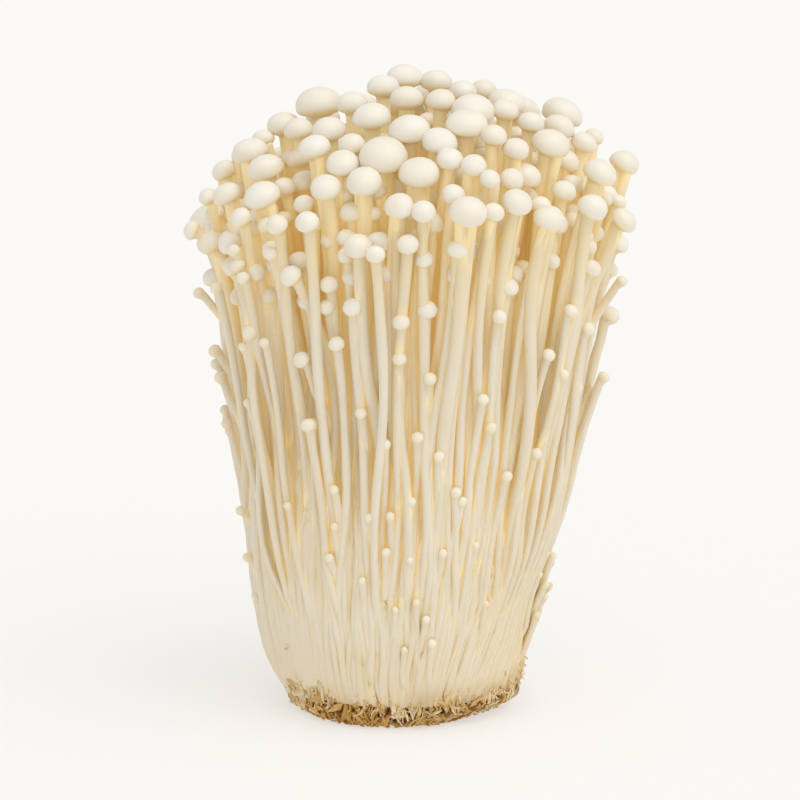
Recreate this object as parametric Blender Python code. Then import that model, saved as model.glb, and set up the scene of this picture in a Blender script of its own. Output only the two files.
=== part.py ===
"""Enoki mushroom bunch, standing on the crust of growing medium that it was cut from.

Two solids: mushroom_cluster, the stems and caps that grow fused from one fluted butt, and
substrate_crust, the tan crumbly medium under it. Blender units are metres; sizes below are
millimetres and are scaled once, by MM, where a mesh is made. +Z is up, -Y is the front, and
the origin is on the flat foot, under the middle of the bunch.
"""

import math
import random

import bmesh
import bpy
from mathutils import Vector

MM = 0.001

# Driving dimensions of the bunch, in millimetres
FOOT_HALF_WIDTH = 29.0
FLARE = 0.19
DEPTH_SHARE = 0.88
FOOT_MIDDLE_X = -2.0
SIDEWAYS_LEAN = 0.05
LEAN_STOPS_AT = 76.0
FOOT_SHIFT = 1.4
FOOT_TUCK = 1.4
FOOT_TUCK_ENDS = 14.0
WAIST_DENT = 3.4
WAIST_STARTS = (4.0, 26.0)
WAIST_ENDS = (40.0, 92.0)
CROWN_HEIGHT = 142.7
CROWN_MIDDLE_X = 6.0
CROWN_FALL_ACROSS = 0.0098
CROWN_FALL_DEEP = 0.0115

# The eye that the seen caps below were read from: its distance, its angle above the
# horizon in degrees, and the height on the bunch that it looks at
EYE_DISTANCE = 750.0
EYE_ELEVATION = 10.5
EYE_HEIGHT_AIM = 71.0
SIGHT_NEAR_SIDE = 80.0
SIGHT_SPAN = 140.0
SIGHT_STEP = 0.5
MOST_STEPS_TO_CLEAR = 16

# Caps on the crown as the eye sees them: (across, up, cap width). Across and up lie on the
# picture plane through the bunch's axis, and up is 0 at the ground.
CROWN_CAPS = [
    (-40.8, 122.2, 6.0), (-40.3, 116.9, 6.2), (-36.6, 125.4, 5.2), (-34.8, 126.6, 8.2),
    (-31.4, 122.9, 8.0), (-32.3, 116.6, 8.0), (-31.9, 129.4, 5.0), (-27.2, 132.7, 8.0),
    (-23.9, 131.6, 7.0), (-19.2, 137.6, 10.7), (-11.6, 137.5, 7.3), (-7.2, 134.5, 8.6),
    (-16.8, 131.6, 7.8), (-20.3, 127.5, 7.3), (-11.7, 128.2, 6.0), (-13.7, 123.9, 7.5),
    (-4.5, 125.8, 11.0), (-8.9, 119.8, 8.0), (-17.6, 118.4, 7.0), (-1.0, 114.2, 6.5),
    (-4.5, 141.3, 7.3), (0.5, 143.5, 8.2), (0.8, 138.7, 7.5), (1.4, 131.6, 9.1),
    (3.6, 121.8, 8.7), (4.7, 112.9, 5.4), (7.6, 142.5, 7.3), (8.5, 138.2, 6.8),
    (13.6, 140.2, 6.6), (18.4, 140.5, 6.2), (23.6, 137.8, 8.4), (23.2, 135.9, 6.4),
    (15.9, 136.1, 9.8), (14.5, 132.9, 8.9), (8.4, 128.9, 8.0), (20.7, 130.2, 5.9),
    (29.1, 133.1, 6.1), (25.6, 127.1, 6.1), (36.4, 135.4, 9.8), (35.6, 132.2, 7.3),
    (33.6, 128.4, 8.6), (41.3, 128.5, 6.1), (43.4, 129.8, 4.5), (50.4, 124.0, 7.0),
    (44.9, 121.8, 7.7), (10.7, 124.8, 6.1), (16.1, 123.3, 5.9), (19.8, 120.2, 4.8),
    (24.7, 120.2, 5.7), (11.5, 116.7, 5.2), (14.8, 112.9, 8.0), (26.1, 115.1, 6.8),
    (33.3, 111.4, 6.6), (43.2, 113.9, 6.6), (50.5, 110.9, 6.1), (20.7, 112.7, 4.5),
]
# Shorter mushrooms that stand round the flank, read in the same way
FLANK_CAPS = [
    (-48.3, 108.5, 4.4), (-44.5, 116.2, 4.5), (-37.0, 111.6, 4.8), (-28.8, 109.9, 4.9),
    (-21.9, 110.5, 5.2), (-10.3, 105.1, 6.1), (-6.3, 103.1, 4.2), (1.0, 105.4, 4.8),
    (-25.7, 98.2, 4.8), (-30.1, 103.3, 3.2), (-37.7, 100.7, 3.4), (-42.6, 95.4, 3.0),
    (-46.6, 94.2, 2.7), (12.5, 104.2, 4.5), (43.0, 100.0, 4.1), (49.8, 96.9, 2.7),
    (-11.6, 91.1, 4.3), (-0.5, 87.7, 3.9), (-34.8, 85.4, 3.9), (-15.2, 82.7, 3.6),
    (-23.2, 79.1, 3.9), (-20.9, 64.3, 3.2), (-43.0, 81.1, 3.0), (22.0, 88.9, 3.4),
    (38.2, 90.2, 3.2), (33.2, 80.2, 3.0), (45.7, 75.2, 2.7), (6.1, 74.8, 3.0),
    (-0.9, 79.3, 3.2),
]
# Stems that lean sideways more than their neighbours: (across, up) of the cap to the lean
LEANING = {
    (-48.3, 108.5): -0.75,
    (-46.6, 94.2): -0.55,
    (-43.0, 81.1): -0.35,
    (-25.7, 98.2): -0.32,
    (-23.2, 79.1): -0.30,
    (50.5, 110.9): 0.12,
    (49.8, 96.9): 0.25,
}

# The rest, which is filled by rule: the far side, and low between the seen caps
CROWN_SEEDS = 94
CROWN_EDGE_SHARE = 0.97
CROWN_EDGE_HEIGHT = 119.5
CROWN_CAP_WIDTHS = (6.2, 9.6)
CROWN_UNEVEN = 5.0
FAR_FROM_Y = 3.0
NEAR_SUNK = 4.5
NEAR_LIMIT_SHARE = 0.72
NEAR_WIDTH_SHARE = 0.8
FAR_FLANK_CAPS = 25
FAR_FLANK_HEIGHTS = (56.0, 118.0)
FAR_FLANK_WIDTHS = (2.6, 6.2)
FAR_FLANK_SHARE = 1.01
FAR_FLANK_END = 0.03
GOLDEN_ANGLE = math.pi * (3 - math.sqrt(5))
GOLDEN_SHARE = (math.sqrt(5) - 1) / 2
CAP_CLEARANCE = 0.92

# Stem and cap proportions
STEM_WIDTH_LEAST = 1.2
STEM_WIDTH_PER_CAP = 0.28
STEM_FOOT_SHARE = 0.58
CAP_DOME_SHARE = 0.42
CAP_UNDER_SHARE = 0.32
CAP_FACET_SWELL = 1.06
RIM_DROP = 0.06
SHOULDER_RISE = 0.64
SHOULDER_SHARE = 0.74
WIDTH_WITH_DETAIL = 4.2
WIDTH_WITH_SIX_SIDES = 7.6
OUTWARD_TILT = 0.26
BEND_REACH = 36.0
LEAN_REACH = 70.0

# The fluted butt, which is the stems grown together: (height, share of the flank's width)
BUTT_LEVELS = [(7.2, 0.92), (16.0, 0.93), (29.0, 0.975), (102.0, 0.88)]
BUTT_FLUTES = 28
FLUTE_DEPTH = 1.0
BUTT_ROOF_RISE = 6.0

# Where a stem leaves the butt, from its flank or out of its roof
FLANK_START = 11.0
FLANK_START_SHARE = 0.80
FLANK_CLEAR_HEIGHT = 31.0
ROOF_START = 92.0
ROOF_START_SHARE = 0.80
INNER_BELOW_SHARE = 0.90

# The crust of growing medium: (share of the seam's height, share of the foot's half width)
CRUST_LEVELS = [(0.0, 0.80), (0.18, 0.90), (0.5, 0.98), (0.82, 0.98)]
CRUST_TOP_SHARE = 0.95
CRUST_SIDES = 60
CRUST_RAGGED = 0.035
SEAM_HEIGHT = 6.4
SEAM_WAVE = 0.9
SEAM_WAVES = 3
SEAM_TURN = 0.7
SEAM_RISE_RIGHT = 1.0
SEAM_GAP = 0.45
SHREDS = 84
SHRED_SIDES = 4
SHRED_LENGTH = (3.0, 6.0)
SHRED_WIDTH = (0.9, 1.5)
SHRED_RIM_SHARE = (0.91, 0.97)
SHRED_HEIGHT_SHARE = (0.22, 0.66)
SHRED_OUTWARD = (0.35, 1.0)
SHRED_RISE = (-0.35, 0.35)
SHRED_SUNK_SHARE = 0.55
SHRED_ROOT_SHARE = 0.6
SHRED_END_SHARE = 0.35
SHRED_POINT = 0.2
SHRED_LOWEST = 0.4
SHRED_BELOW_SEAM = 0.5

FLESH_COLOUR = (0.93, 0.86, 0.70, 1.0)
CRUST_COLOUR = (0.50, 0.34, 0.16, 1.0)


# The bunch's outer form

def eased(value, start, end):
    """0 before start, 1 after end, and smooth between them."""
    t = min(1.0, max(0.0, (value - start) / (end - start)))
    return t * t * (3 - 2 * t)


def foot_share(height):
    """1 on the ground, falling to 0 where the tucked-in foot ends."""
    return 1 - eased(height, 0, FOOT_TUCK_ENDS)


def flank_half_width(height):
    """Half the bunch's width at a height, up its flaring flank."""
    return FOOT_HALF_WIDTH + FLARE * height - FOOT_TUCK * foot_share(height)


def waist(angle, height):
    """The share of the flank's width that is left where the right side is drawn in."""
    dent = WAIST_DENT * eased(height, *WAIST_STARTS) * (1 - eased(height, *WAIST_ENDS))
    return 1 - dent * max(0.0, math.cos(angle)) ** 2 / flank_half_width(height)


def middle_x(height):
    """The bunch leans a little to the right of its foot, which is tucked in on the left."""
    lean = SIDEWAYS_LEAN * min(height, LEAN_STOPS_AT)
    return FOOT_MIDDLE_X + lean + FOOT_SHIFT * foot_share(height)


def around(x, y, height):
    """How far out a point lies, 0 on the axis and 1 on the flank, and at which angle."""
    half = flank_half_width(height)
    across, deep = (x - middle_x(height)) / half, y / (half * DEPTH_SHARE)
    angle = math.atan2(deep, across)
    return math.hypot(across, deep) / waist(angle, height), angle


def crown_height(x, y):
    """Height of the domed crown that the tall mushrooms' caps make together."""
    fall_across = CROWN_FALL_ACROSS * (x - CROWN_MIDDLE_X) ** 2
    return CROWN_HEIGHT - fall_across - CROWN_FALL_DEEP * y * y


def outside(point):
    """Above 0 outside the bunch's form, 0 on it, and below 0 inside."""
    half = flank_half_width(point.z)
    above_crown = (point.z - crown_height(point.x, point.y)) / half
    return max(around(*point)[0] - 1, above_crown)


def at_flank(share, angle, height):
    """The point at a share of the way out to the flank, in the direction of an angle."""
    out = share * flank_half_width(height) * waist(angle, height)
    across = middle_x(height) + out * math.cos(angle)
    return Vector((across, out * DEPTH_SHARE * math.sin(angle), height))


# Placing the mushrooms

class Mushroom:
    """One stem and cap: the cap's middle, its width, and how its stem leans sideways."""

    def __init__(self, cap, width, lean=0.0):
        self.cap = cap
        self.width = width
        self.lean = lean
        self.share, self.angle = around(*cap)

    @property
    def stem_radius(self):
        return (STEM_WIDTH_LEAST + STEM_WIDTH_PER_CAP * self.width) / 2

    def root(self):
        """The stem's foot, as far out in the foot as its cap is at its own height."""
        inset = 1 - self.stem_radius / flank_half_width(0)
        return at_flank(min(self.share, inset), self.angle, 0)

    def tilt(self):
        """How much more than the straight stem the cap leans outward, as a slope."""
        outward = Vector((math.cos(self.angle), math.sin(self.angle), 0))
        return outward * self.share**2 * OUTWARD_TILT + Vector((self.lean, 0, 0))

    def axis(self):
        """The way the cap points."""
        return ((self.cap - self.root()).normalized() + self.tilt()).normalized()

    def stem_point(self, height):
        """The stem's middle at a height: straight up from the root, then bent to the cap."""
        root = self.root()
        rise = height / self.cap.z
        below = self.cap.z - height
        reach = LEAN_REACH if self.lean else BEND_REACH
        bent = below * (1 - below / reach) ** 2 if below < reach else 0
        return root.lerp(self.cap, rise) - self.tilt() * bent

    def stem_radius_at(self, height):
        rise = height / self.cap.z
        return self.stem_radius * (STEM_FOOT_SHARE + (1 - STEM_FOOT_SHARE) * rise)


def seen_at(across, up):
    """The line of sight through a place in the picture, as the eye and a unit direction."""
    tilt = math.radians(EYE_ELEVATION)
    aim = Vector((0, 0, EYE_HEIGHT_AIM))
    back = Vector((0, -math.cos(tilt), math.sin(tilt)))
    upward = Vector((0, math.sin(tilt), math.cos(tilt)))
    eye = aim + back * EYE_DISTANCE
    above_aim = up - EYE_HEIGHT_AIM * math.cos(tilt)
    target = aim + Vector((across, 0, 0)) + upward * above_aim
    return eye, (target - eye).normalized()


def first_on_form(eye, sight):
    """Where a line of sight first meets the bunch's form, or passes nearest to it."""
    nearest, least = None, math.inf
    for step in range(int(SIGHT_SPAN / SIGHT_STEP)):
        point = eye + sight * (EYE_DISTANCE - SIGHT_NEAR_SIDE + step * SIGHT_STEP)
        value = outside(point)
        if value <= 0:
            return point
        if value < least:
            nearest, least = point, value
    return nearest


def is_clear(cap, width, placed):
    return all(
        (cap - other.cap).length > CAP_CLEARANCE * (width + other.width) / 2
        for other in placed
    )


def add_seen(placed, caps):
    """Adds the caps read from the front, the furthest first, each brought towards the eye
    until it clears the caps behind it."""
    for across, up, width in sorted(caps, key=lambda cap: -cap[1]):
        eye, sight = seen_at(across, up)
        cap = first_on_form(eye, sight)
        for _ in range(MOST_STEPS_TO_CLEAR):
            if is_clear(cap, width, placed):
                break
            cap = cap - sight * SIGHT_STEP
        placed.append(Mushroom(cap, width, LEANING.get((across, up), 0.0)))


def add_crown_by_rule(placed):
    """Fills the crown as seeds fill a sunflower: level with the seen caps on the far side,
    and lower between them on the near side."""
    for seed in range(CROWN_SEEDS):
        draw = random.Random(f"crown {seed}")
        share = CROWN_EDGE_SHARE * math.sqrt((seed + 0.5) / CROWN_SEEDS)
        flat = at_flank(share, seed * GOLDEN_ANGLE, CROWN_EDGE_HEIGHT)
        far = flat.y > FAR_FROM_Y
        sunk = draw.uniform(0, CROWN_UNEVEN) + (0 if far else NEAR_SUNK)
        width = draw.uniform(*CROWN_CAP_WIDTHS) * (1 if far else NEAR_WIDTH_SHARE)
        cap = Vector((flat.x, flat.y, crown_height(flat.x, flat.y) - sunk))
        if (far or share < NEAR_LIMIT_SHARE) and is_clear(cap, width, placed):
            placed.append(Mushroom(cap, width))


def add_far_flank(placed):
    """Shorter mushrooms round the far flank, smaller the lower they stand."""
    lowest, highest = FAR_FLANK_HEIGHTS
    least, most = FAR_FLANK_WIDTHS
    for count in range(FAR_FLANK_CAPS):
        draw = random.Random(f"flank {count}")
        turn = FAR_FLANK_END + (1 - 2 * FAR_FLANK_END) * (count * GOLDEN_SHARE % 1)
        rise = (count + 0.5) / FAR_FLANK_CAPS
        width = least + (most - least) * rise**1.5 + draw.uniform(-0.2, 0.6)
        height = lowest + (highest - lowest) * rise
        cap = at_flank(FAR_FLANK_SHARE, turn * math.pi, height)
        if is_clear(cap, width, placed):
            placed.append(Mushroom(cap, width))


def all_mushrooms():
    placed = []
    add_seen(placed, CROWN_CAPS)
    add_seen(placed, FLANK_CAPS)
    add_crown_by_rule(placed)
    add_far_flank(placed)
    return placed


# Meshes

def mesh_object(name, rings, first, last, collection):
    """An object skinned over rings of points, closed at each end on one point."""
    shape = bmesh.new()
    loops = [[shape.verts.new(point * MM) for point in ring] for ring in rings]
    sides = len(rings[0])
    for lower, upper in zip(loops, loops[1:]):
        for i in range(sides):
            j = (i + 1) % sides
            shape.faces.new((lower[i], lower[j], upper[j], upper[i]))
    bottom, top = shape.verts.new(first * MM), shape.verts.new(last * MM)
    for i in range(sides):
        j = (i + 1) % sides
        shape.faces.new((bottom, loops[0][j], loops[0][i]))
        shape.faces.new((top, loops[-1][i], loops[-1][j]))
    bmesh.ops.triangulate(shape, faces=shape.faces)
    mesh = bpy.data.meshes.new(name)
    shape.to_mesh(mesh)
    shape.free()
    made = bpy.data.objects.new(name, mesh)
    collection.objects.link(made)
    return made


def ring_round(middle, axis, radius, sides, turn=0.0):
    """Points of a regular ring square to an axis."""
    side = axis.cross(Vector((0, 1, 0))).normalized()
    other = axis.cross(side)
    return [
        middle
        + side * (radius * math.cos(turn + 2 * math.pi * i / sides))
        + other * (radius * math.sin(turn + 2 * math.pi * i / sides))
        for i in range(sides)
    ]


def stem_stations(mushroom):
    """The stem's middles and radii from its sunk end up to the neck: an inner stem out of
    the butt's roof, and an outer one out of its flank."""
    neck = mushroom.cap.z - CAP_UNDER_SHARE * mushroom.width
    if mushroom.share < INNER_BELOW_SHARE:
        sunk, share, heights = ROOF_START, ROOF_START_SHARE, []
    else:
        sunk, share = FLANK_START, FLANK_START_SHARE
        free = min(FLANK_CLEAR_HEIGHT, sunk + 0.5 * (neck - sunk))
        detailed = mushroom.width > WIDTH_WITH_DETAIL
        heights = [free, free + (neck - free) * 0.5] if detailed else [free]
    out, angle = around(*mushroom.stem_point(sunk))
    start = at_flank(min(out, share), angle, sunk)
    stations = [(start, mushroom.stem_radius_at(sunk))]
    for height in heights:
        stations.append((mushroom.stem_point(height), mushroom.stem_radius_at(height)))
    return stations


def mushroom_object(mushroom, number, collection):
    """A stem with few sides that widens at its neck into a domed cap."""
    radius = mushroom.width / 2
    sides = 6 if mushroom.width > WIDTH_WITH_SIX_SIDES else 5
    turn = random.Random(f"turn {number}").uniform(0, math.pi)
    axis = mushroom.axis()
    neck = mushroom.cap - axis * (CAP_UNDER_SHARE * mushroom.width)
    stations = stem_stations(mushroom)
    rings = []
    for i, (middle, thickness) in enumerate(stations):
        following = stations[i + 1][0] if i + 1 < len(stations) else neck
        way = (following - middle).normalized()
        rings.append(ring_round(middle, way, thickness, sides, turn))
    rings.append(ring_round(neck, axis, mushroom.stem_radius, sides, turn))
    wide = radius * CAP_FACET_SWELL
    rim = mushroom.cap - axis * (RIM_DROP * mushroom.width)
    rings.append(ring_round(rim, axis, wide, sides, turn))
    if mushroom.width > WIDTH_WITH_DETAIL:
        shoulder = mushroom.cap + axis * (SHOULDER_RISE * CAP_DOME_SHARE * mushroom.width)
        rings.append(ring_round(shoulder, axis, wide * SHOULDER_SHARE, sides, turn))
    tip = mushroom.cap + axis * (CAP_DOME_SHARE * mushroom.width)
    return mesh_object(f"mushroom_{number}", rings, stations[0][0], tip, collection)


def seam_height(x, y):
    """The gently waved face where the butt sits on the crust."""
    out, angle = around(x, y, 0)
    wave = SEAM_WAVE * math.sin(SEAM_WAVES * angle + SEAM_TURN)
    wave += SEAM_RISE_RIGHT * math.cos(angle)
    return SEAM_HEIGHT + wave * min(1.0, out) ** 2


def butt_object(collection):
    """The fused lower mass, with a flute for each stem that has grown into it."""
    sides = 2 * BUTT_FLUTES
    draws = random.Random("flutes")
    depths = [FLUTE_DEPTH * draws.uniform(0.5, 1.3) for _ in range(sides)]
    rings = []
    for level, (height, share) in enumerate(BUTT_LEVELS):
        ring = []
        for i in range(sides):
            depth = depths[i] if i % 2 else 0.0
            angle = 2 * math.pi * i / sides
            inset = depth / flank_half_width(height)
            point = at_flank(share - inset, angle, height)
            if level == 0:
                point.z = seam_height(point.x, point.y) + SEAM_GAP
            ring.append(point)
        rings.append(ring)
    top = BUTT_LEVELS[-1][0]
    foot = Vector((middle_x(0), 0, SEAM_HEIGHT + SEAM_GAP))
    roof = Vector((middle_x(top), 0, top + BUTT_ROOF_RISE))
    return mesh_object("mushroom_cluster", rings, foot, roof, collection)


def shred_object(number, collection):
    """One torn fibre of growing medium, with its root sunk in the crust's rim."""
    draw = random.Random(f"shred {number}")
    angle = number * GOLDEN_ANGLE
    rim = at_flank(draw.uniform(*SHRED_RIM_SHARE), angle, 0)
    seam = seam_height(rim.x, rim.y)
    middle = rim + Vector((0, 0, seam * draw.uniform(*SHRED_HEIGHT_SHARE)))
    outward = Vector((math.cos(angle), math.sin(angle), 0))
    along = Vector((-math.sin(angle), math.cos(angle), 0))
    way = along * draw.uniform(-1, 1) + outward * draw.uniform(*SHRED_OUTWARD)
    way = (way + Vector((0, 0, draw.uniform(*SHRED_RISE)))).normalized()
    length = draw.uniform(*SHRED_LENGTH)
    width = draw.uniform(*SHRED_WIDTH)
    start = middle - way * (length * SHRED_SUNK_SHARE)
    end = middle + way * (length * (1 - SHRED_SUNK_SHARE))
    lowest, highest = SHRED_LOWEST + width / 2, seam - SHRED_BELOW_SEAM - width / 2
    for tip in (start, end):
        tip.z = min(highest, max(lowest, tip.z))
    way = (end - start).normalized()
    rings = [
        ring_round(start, way, width * SHRED_ROOT_SHARE, SHRED_SIDES, angle),
        ring_round(end, way, width * SHRED_END_SHARE, SHRED_SIDES, angle),
    ]
    point = end + way * SHRED_POINT
    return mesh_object(f"shred_{number}", rings, start, point, collection)


def crust_object(collection):
    """The slab of growing medium, flat underneath and ragged round its rim."""
    draws = random.Random("crust")
    rings = []
    for level, share in [*CRUST_LEVELS, (1.0, CRUST_TOP_SHARE)]:
        ring = []
        for i in range(CRUST_SIDES):
            ragged = draws.uniform(-CRUST_RAGGED, CRUST_RAGGED) if 0 < level < 1 else 0
            point = at_flank(share + ragged, 2 * math.pi * i / CRUST_SIDES, 0)
            point.z = level * seam_height(point.x, point.y)
            ring.append(point)
        rings.append(ring)
    foot = Vector((middle_x(0), 0, 0))
    top = Vector((middle_x(0), 0, SEAM_HEIGHT))
    return mesh_object("substrate_crust", rings, foot, top, collection)


def island_with(first):
    """The faces that a face shares edges with, and theirs in turn."""
    first.tag = True
    front = [first]
    island = []
    while front:
        face = front.pop()
        island.append(face)
        near = [other for edge in face.edges for other in edge.link_faces if not other.tag]
        for other in near:
            other.tag = True
        front.extend(dict.fromkeys(near))
    return island


def keep_largest_island(mesh):
    """Drops the skin of any hollow sealed inside the solid."""
    shape = bmesh.new()
    shape.from_mesh(mesh)
    for face in shape.faces:
        face.tag = False
    islands = [island_with(face) for face in shape.faces if not face.tag]
    islands.sort(key=len)
    hidden = [face for island in islands[:-1] for face in island]
    bmesh.ops.delete(shape, geom=hidden, context="FACES")
    shape.to_mesh(mesh)
    shape.free()
    mesh.shade_smooth()


def fuse(base, repeats):
    """Joins every object of a collection to the base, then removes them."""
    union = base.modifiers.new("fuse", "BOOLEAN")
    union.operation = "UNION"
    union.operand_type = "COLLECTION"
    union.collection = repeats
    union.solver = "EXACT"
    bpy.context.view_layer.update()
    graph = bpy.context.evaluated_depsgraph_get()
    fused = bpy.data.meshes.new_from_object(base.evaluated_get(graph))
    base.modifiers.clear()
    base.data = fused
    keep_largest_island(fused)
    for piece in list(repeats.objects):
        bpy.data.objects.remove(piece)
    bpy.data.collections.remove(repeats)


def new_collection(name):
    made = bpy.data.collections.new(name)
    bpy.context.scene.collection.children.link(made)
    return made


def paint(target, name, colour, roughness):
    material = bpy.data.materials.new(name)
    material.use_nodes = True
    shader = material.node_tree.nodes["Principled BSDF"]
    shader.inputs["Base Color"].default_value = colour
    shader.inputs["Roughness"].default_value = roughness
    material.diffuse_color = colour
    target.data.materials.clear()
    target.data.materials.append(material)


def main():
    for old in list(bpy.data.objects):
        bpy.data.objects.remove(old)
    scene = bpy.context.scene.collection

    cluster = butt_object(scene)
    repeats = new_collection("repeats")
    for number, mushroom in enumerate(all_mushrooms()):
        mushroom_object(mushroom, number, repeats)
    fuse(cluster, repeats)
    paint(cluster, "mushroom_flesh", FLESH_COLOUR, 0.5)

    crust = crust_object(scene)
    shreds = new_collection("shreds")
    for number in range(SHREDS):
        shred_object(number, shreds)
    fuse(crust, shreds)
    paint(crust, "growing_medium", CRUST_COLOUR, 0.95)


main()
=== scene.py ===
import random
from dataclasses import dataclass
from functools import cache, partial
from math import atan2, cos, exp, hypot, inf, pi, radians, sin, sqrt

import bpy
import numpy as np
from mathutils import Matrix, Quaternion, Vector, noise
from mathutils.bvhtree import BVHTree


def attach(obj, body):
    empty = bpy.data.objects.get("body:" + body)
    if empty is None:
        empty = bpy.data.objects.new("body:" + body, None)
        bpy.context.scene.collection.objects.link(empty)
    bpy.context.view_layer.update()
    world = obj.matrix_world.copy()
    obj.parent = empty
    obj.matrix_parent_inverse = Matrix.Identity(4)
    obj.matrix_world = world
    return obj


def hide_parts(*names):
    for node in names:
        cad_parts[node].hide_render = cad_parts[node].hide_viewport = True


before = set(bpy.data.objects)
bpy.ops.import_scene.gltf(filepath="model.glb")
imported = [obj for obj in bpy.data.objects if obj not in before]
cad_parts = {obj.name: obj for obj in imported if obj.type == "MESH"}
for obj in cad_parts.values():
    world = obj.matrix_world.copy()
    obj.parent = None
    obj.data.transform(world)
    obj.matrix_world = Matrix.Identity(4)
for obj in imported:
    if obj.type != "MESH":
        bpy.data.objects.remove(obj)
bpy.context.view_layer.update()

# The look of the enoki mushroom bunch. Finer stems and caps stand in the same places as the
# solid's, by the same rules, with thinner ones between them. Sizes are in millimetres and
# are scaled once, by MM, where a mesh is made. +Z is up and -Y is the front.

MM = 0.001
TURN = 2 * pi

# Driving dimensions of the bunch, in millimetres, as the solid has them
FOOT_HALF_WIDTH = 29.0
FLARE = 0.19
DEPTH_SHARE = 0.88
FOOT_MIDDLE_X = -2.0
SIDEWAYS_LEAN = 0.05
LEAN_STOPS_AT = 76.0
FOOT_SHIFT = 1.4
FOOT_TUCK = 1.4
FOOT_TUCK_ENDS = 14.0
WAIST_DENT = 3.4
WAIST_STARTS = (4.0, 26.0)
WAIST_ENDS = (40.0, 92.0)
CROWN_HEIGHT = 142.7
CROWN_MIDDLE_X = 6.0
CROWN_FALL_ACROSS = 0.0098
CROWN_FALL_DEEP = 0.0115

# The eye: its distance, its angle above the horizon in degrees, and the height on the bunch
# that it looks at. The view's middle lies a little to the left of the bunch's axis.
EYE_DISTANCE = 750.0
EYE_ELEVATION = 10.5
EYE_HEIGHT_AIM = 71.0
EYE_AIM_X = -0.7
VIEW_WIDTH = 181.8
SENSOR_WIDTH = 36.0
SIGHT_NEAR_SIDE = 80.0
SIGHT_SPAN = 140.0
SIGHT_STEP = 0.5
MOST_STEPS_TO_CLEAR = 16

# Caps on the crown as the eye sees them: (across, up, cap width). Across and up lie on the
# picture plane through the bunch's axis, and up is 0 at the ground.
CROWN_CAPS = [
    (-40.8, 122.2, 6.0), (-40.3, 116.9, 6.2), (-36.6, 125.4, 5.2), (-34.8, 126.6, 8.2),
    (-31.4, 122.9, 8.0), (-32.3, 116.6, 8.0), (-31.9, 129.4, 5.0), (-27.2, 132.7, 8.0),
    (-23.9, 131.6, 7.0), (-19.2, 137.6, 10.7), (-11.6, 137.5, 7.3), (-7.2, 134.5, 8.6),
    (-16.8, 131.6, 7.8), (-20.3, 127.5, 7.3), (-11.7, 128.2, 6.0), (-13.7, 123.9, 7.5),
    (-4.5, 125.8, 11.0), (-8.9, 119.8, 8.0), (-17.6, 118.4, 7.0), (-1.0, 114.2, 6.5),
    (-4.5, 141.3, 7.3), (0.5, 143.5, 8.2), (0.8, 138.7, 7.5), (1.4, 131.6, 9.1),
    (3.6, 121.8, 8.7), (4.7, 112.9, 5.4), (7.6, 142.5, 7.3), (8.5, 138.2, 6.8),
    (13.6, 140.2, 6.6), (18.4, 140.5, 6.2), (23.6, 137.8, 8.4), (23.2, 135.9, 6.4),
    (15.9, 136.1, 9.8), (14.5, 132.9, 8.9), (8.4, 128.9, 8.0), (20.7, 130.2, 5.9),
    (29.1, 133.1, 6.1), (25.6, 127.1, 6.1), (36.4, 135.4, 9.8), (35.6, 132.2, 7.3),
    (33.6, 128.4, 8.6), (41.3, 128.5, 6.1), (43.4, 129.8, 4.5), (50.4, 124.0, 7.0),
    (44.9, 121.8, 7.7), (10.7, 124.8, 6.1), (16.1, 123.3, 5.9), (19.8, 120.2, 4.8),
    (24.7, 120.2, 5.7), (11.5, 116.7, 5.2), (14.8, 112.9, 8.0), (26.1, 115.1, 6.8),
    (33.3, 111.4, 6.6), (43.2, 113.9, 6.6), (50.5, 110.9, 6.1), (20.7, 112.7, 4.5),
]
# Shorter mushrooms that stand round the flank, read in the same way
FLANK_CAPS = [
    (-48.3, 108.5, 4.4), (-44.5, 116.2, 4.5), (-37.0, 111.6, 4.8), (-28.8, 109.9, 4.9),
    (-21.9, 110.5, 5.2), (-10.3, 105.1, 6.1), (-6.3, 103.1, 4.2), (1.0, 105.4, 4.8),
    (-25.7, 98.2, 4.8), (-30.1, 103.3, 3.2), (-37.7, 100.7, 3.4), (-42.6, 95.4, 3.0),
    (-46.6, 94.2, 2.7), (12.5, 104.2, 4.5), (43.0, 100.0, 4.1), (49.8, 96.9, 2.7),
    (-11.6, 91.1, 4.3), (-0.5, 87.7, 3.9), (-34.8, 85.4, 3.9), (-15.2, 82.7, 3.6),
    (-23.2, 79.1, 3.9), (-20.9, 64.3, 3.2), (-43.0, 81.1, 3.0), (22.0, 88.9, 3.4),
    (38.2, 90.2, 3.2), (33.2, 80.2, 3.0), (45.7, 75.2, 2.7), (6.1, 74.8, 3.0),
    (-0.9, 79.3, 3.2),
]
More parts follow.
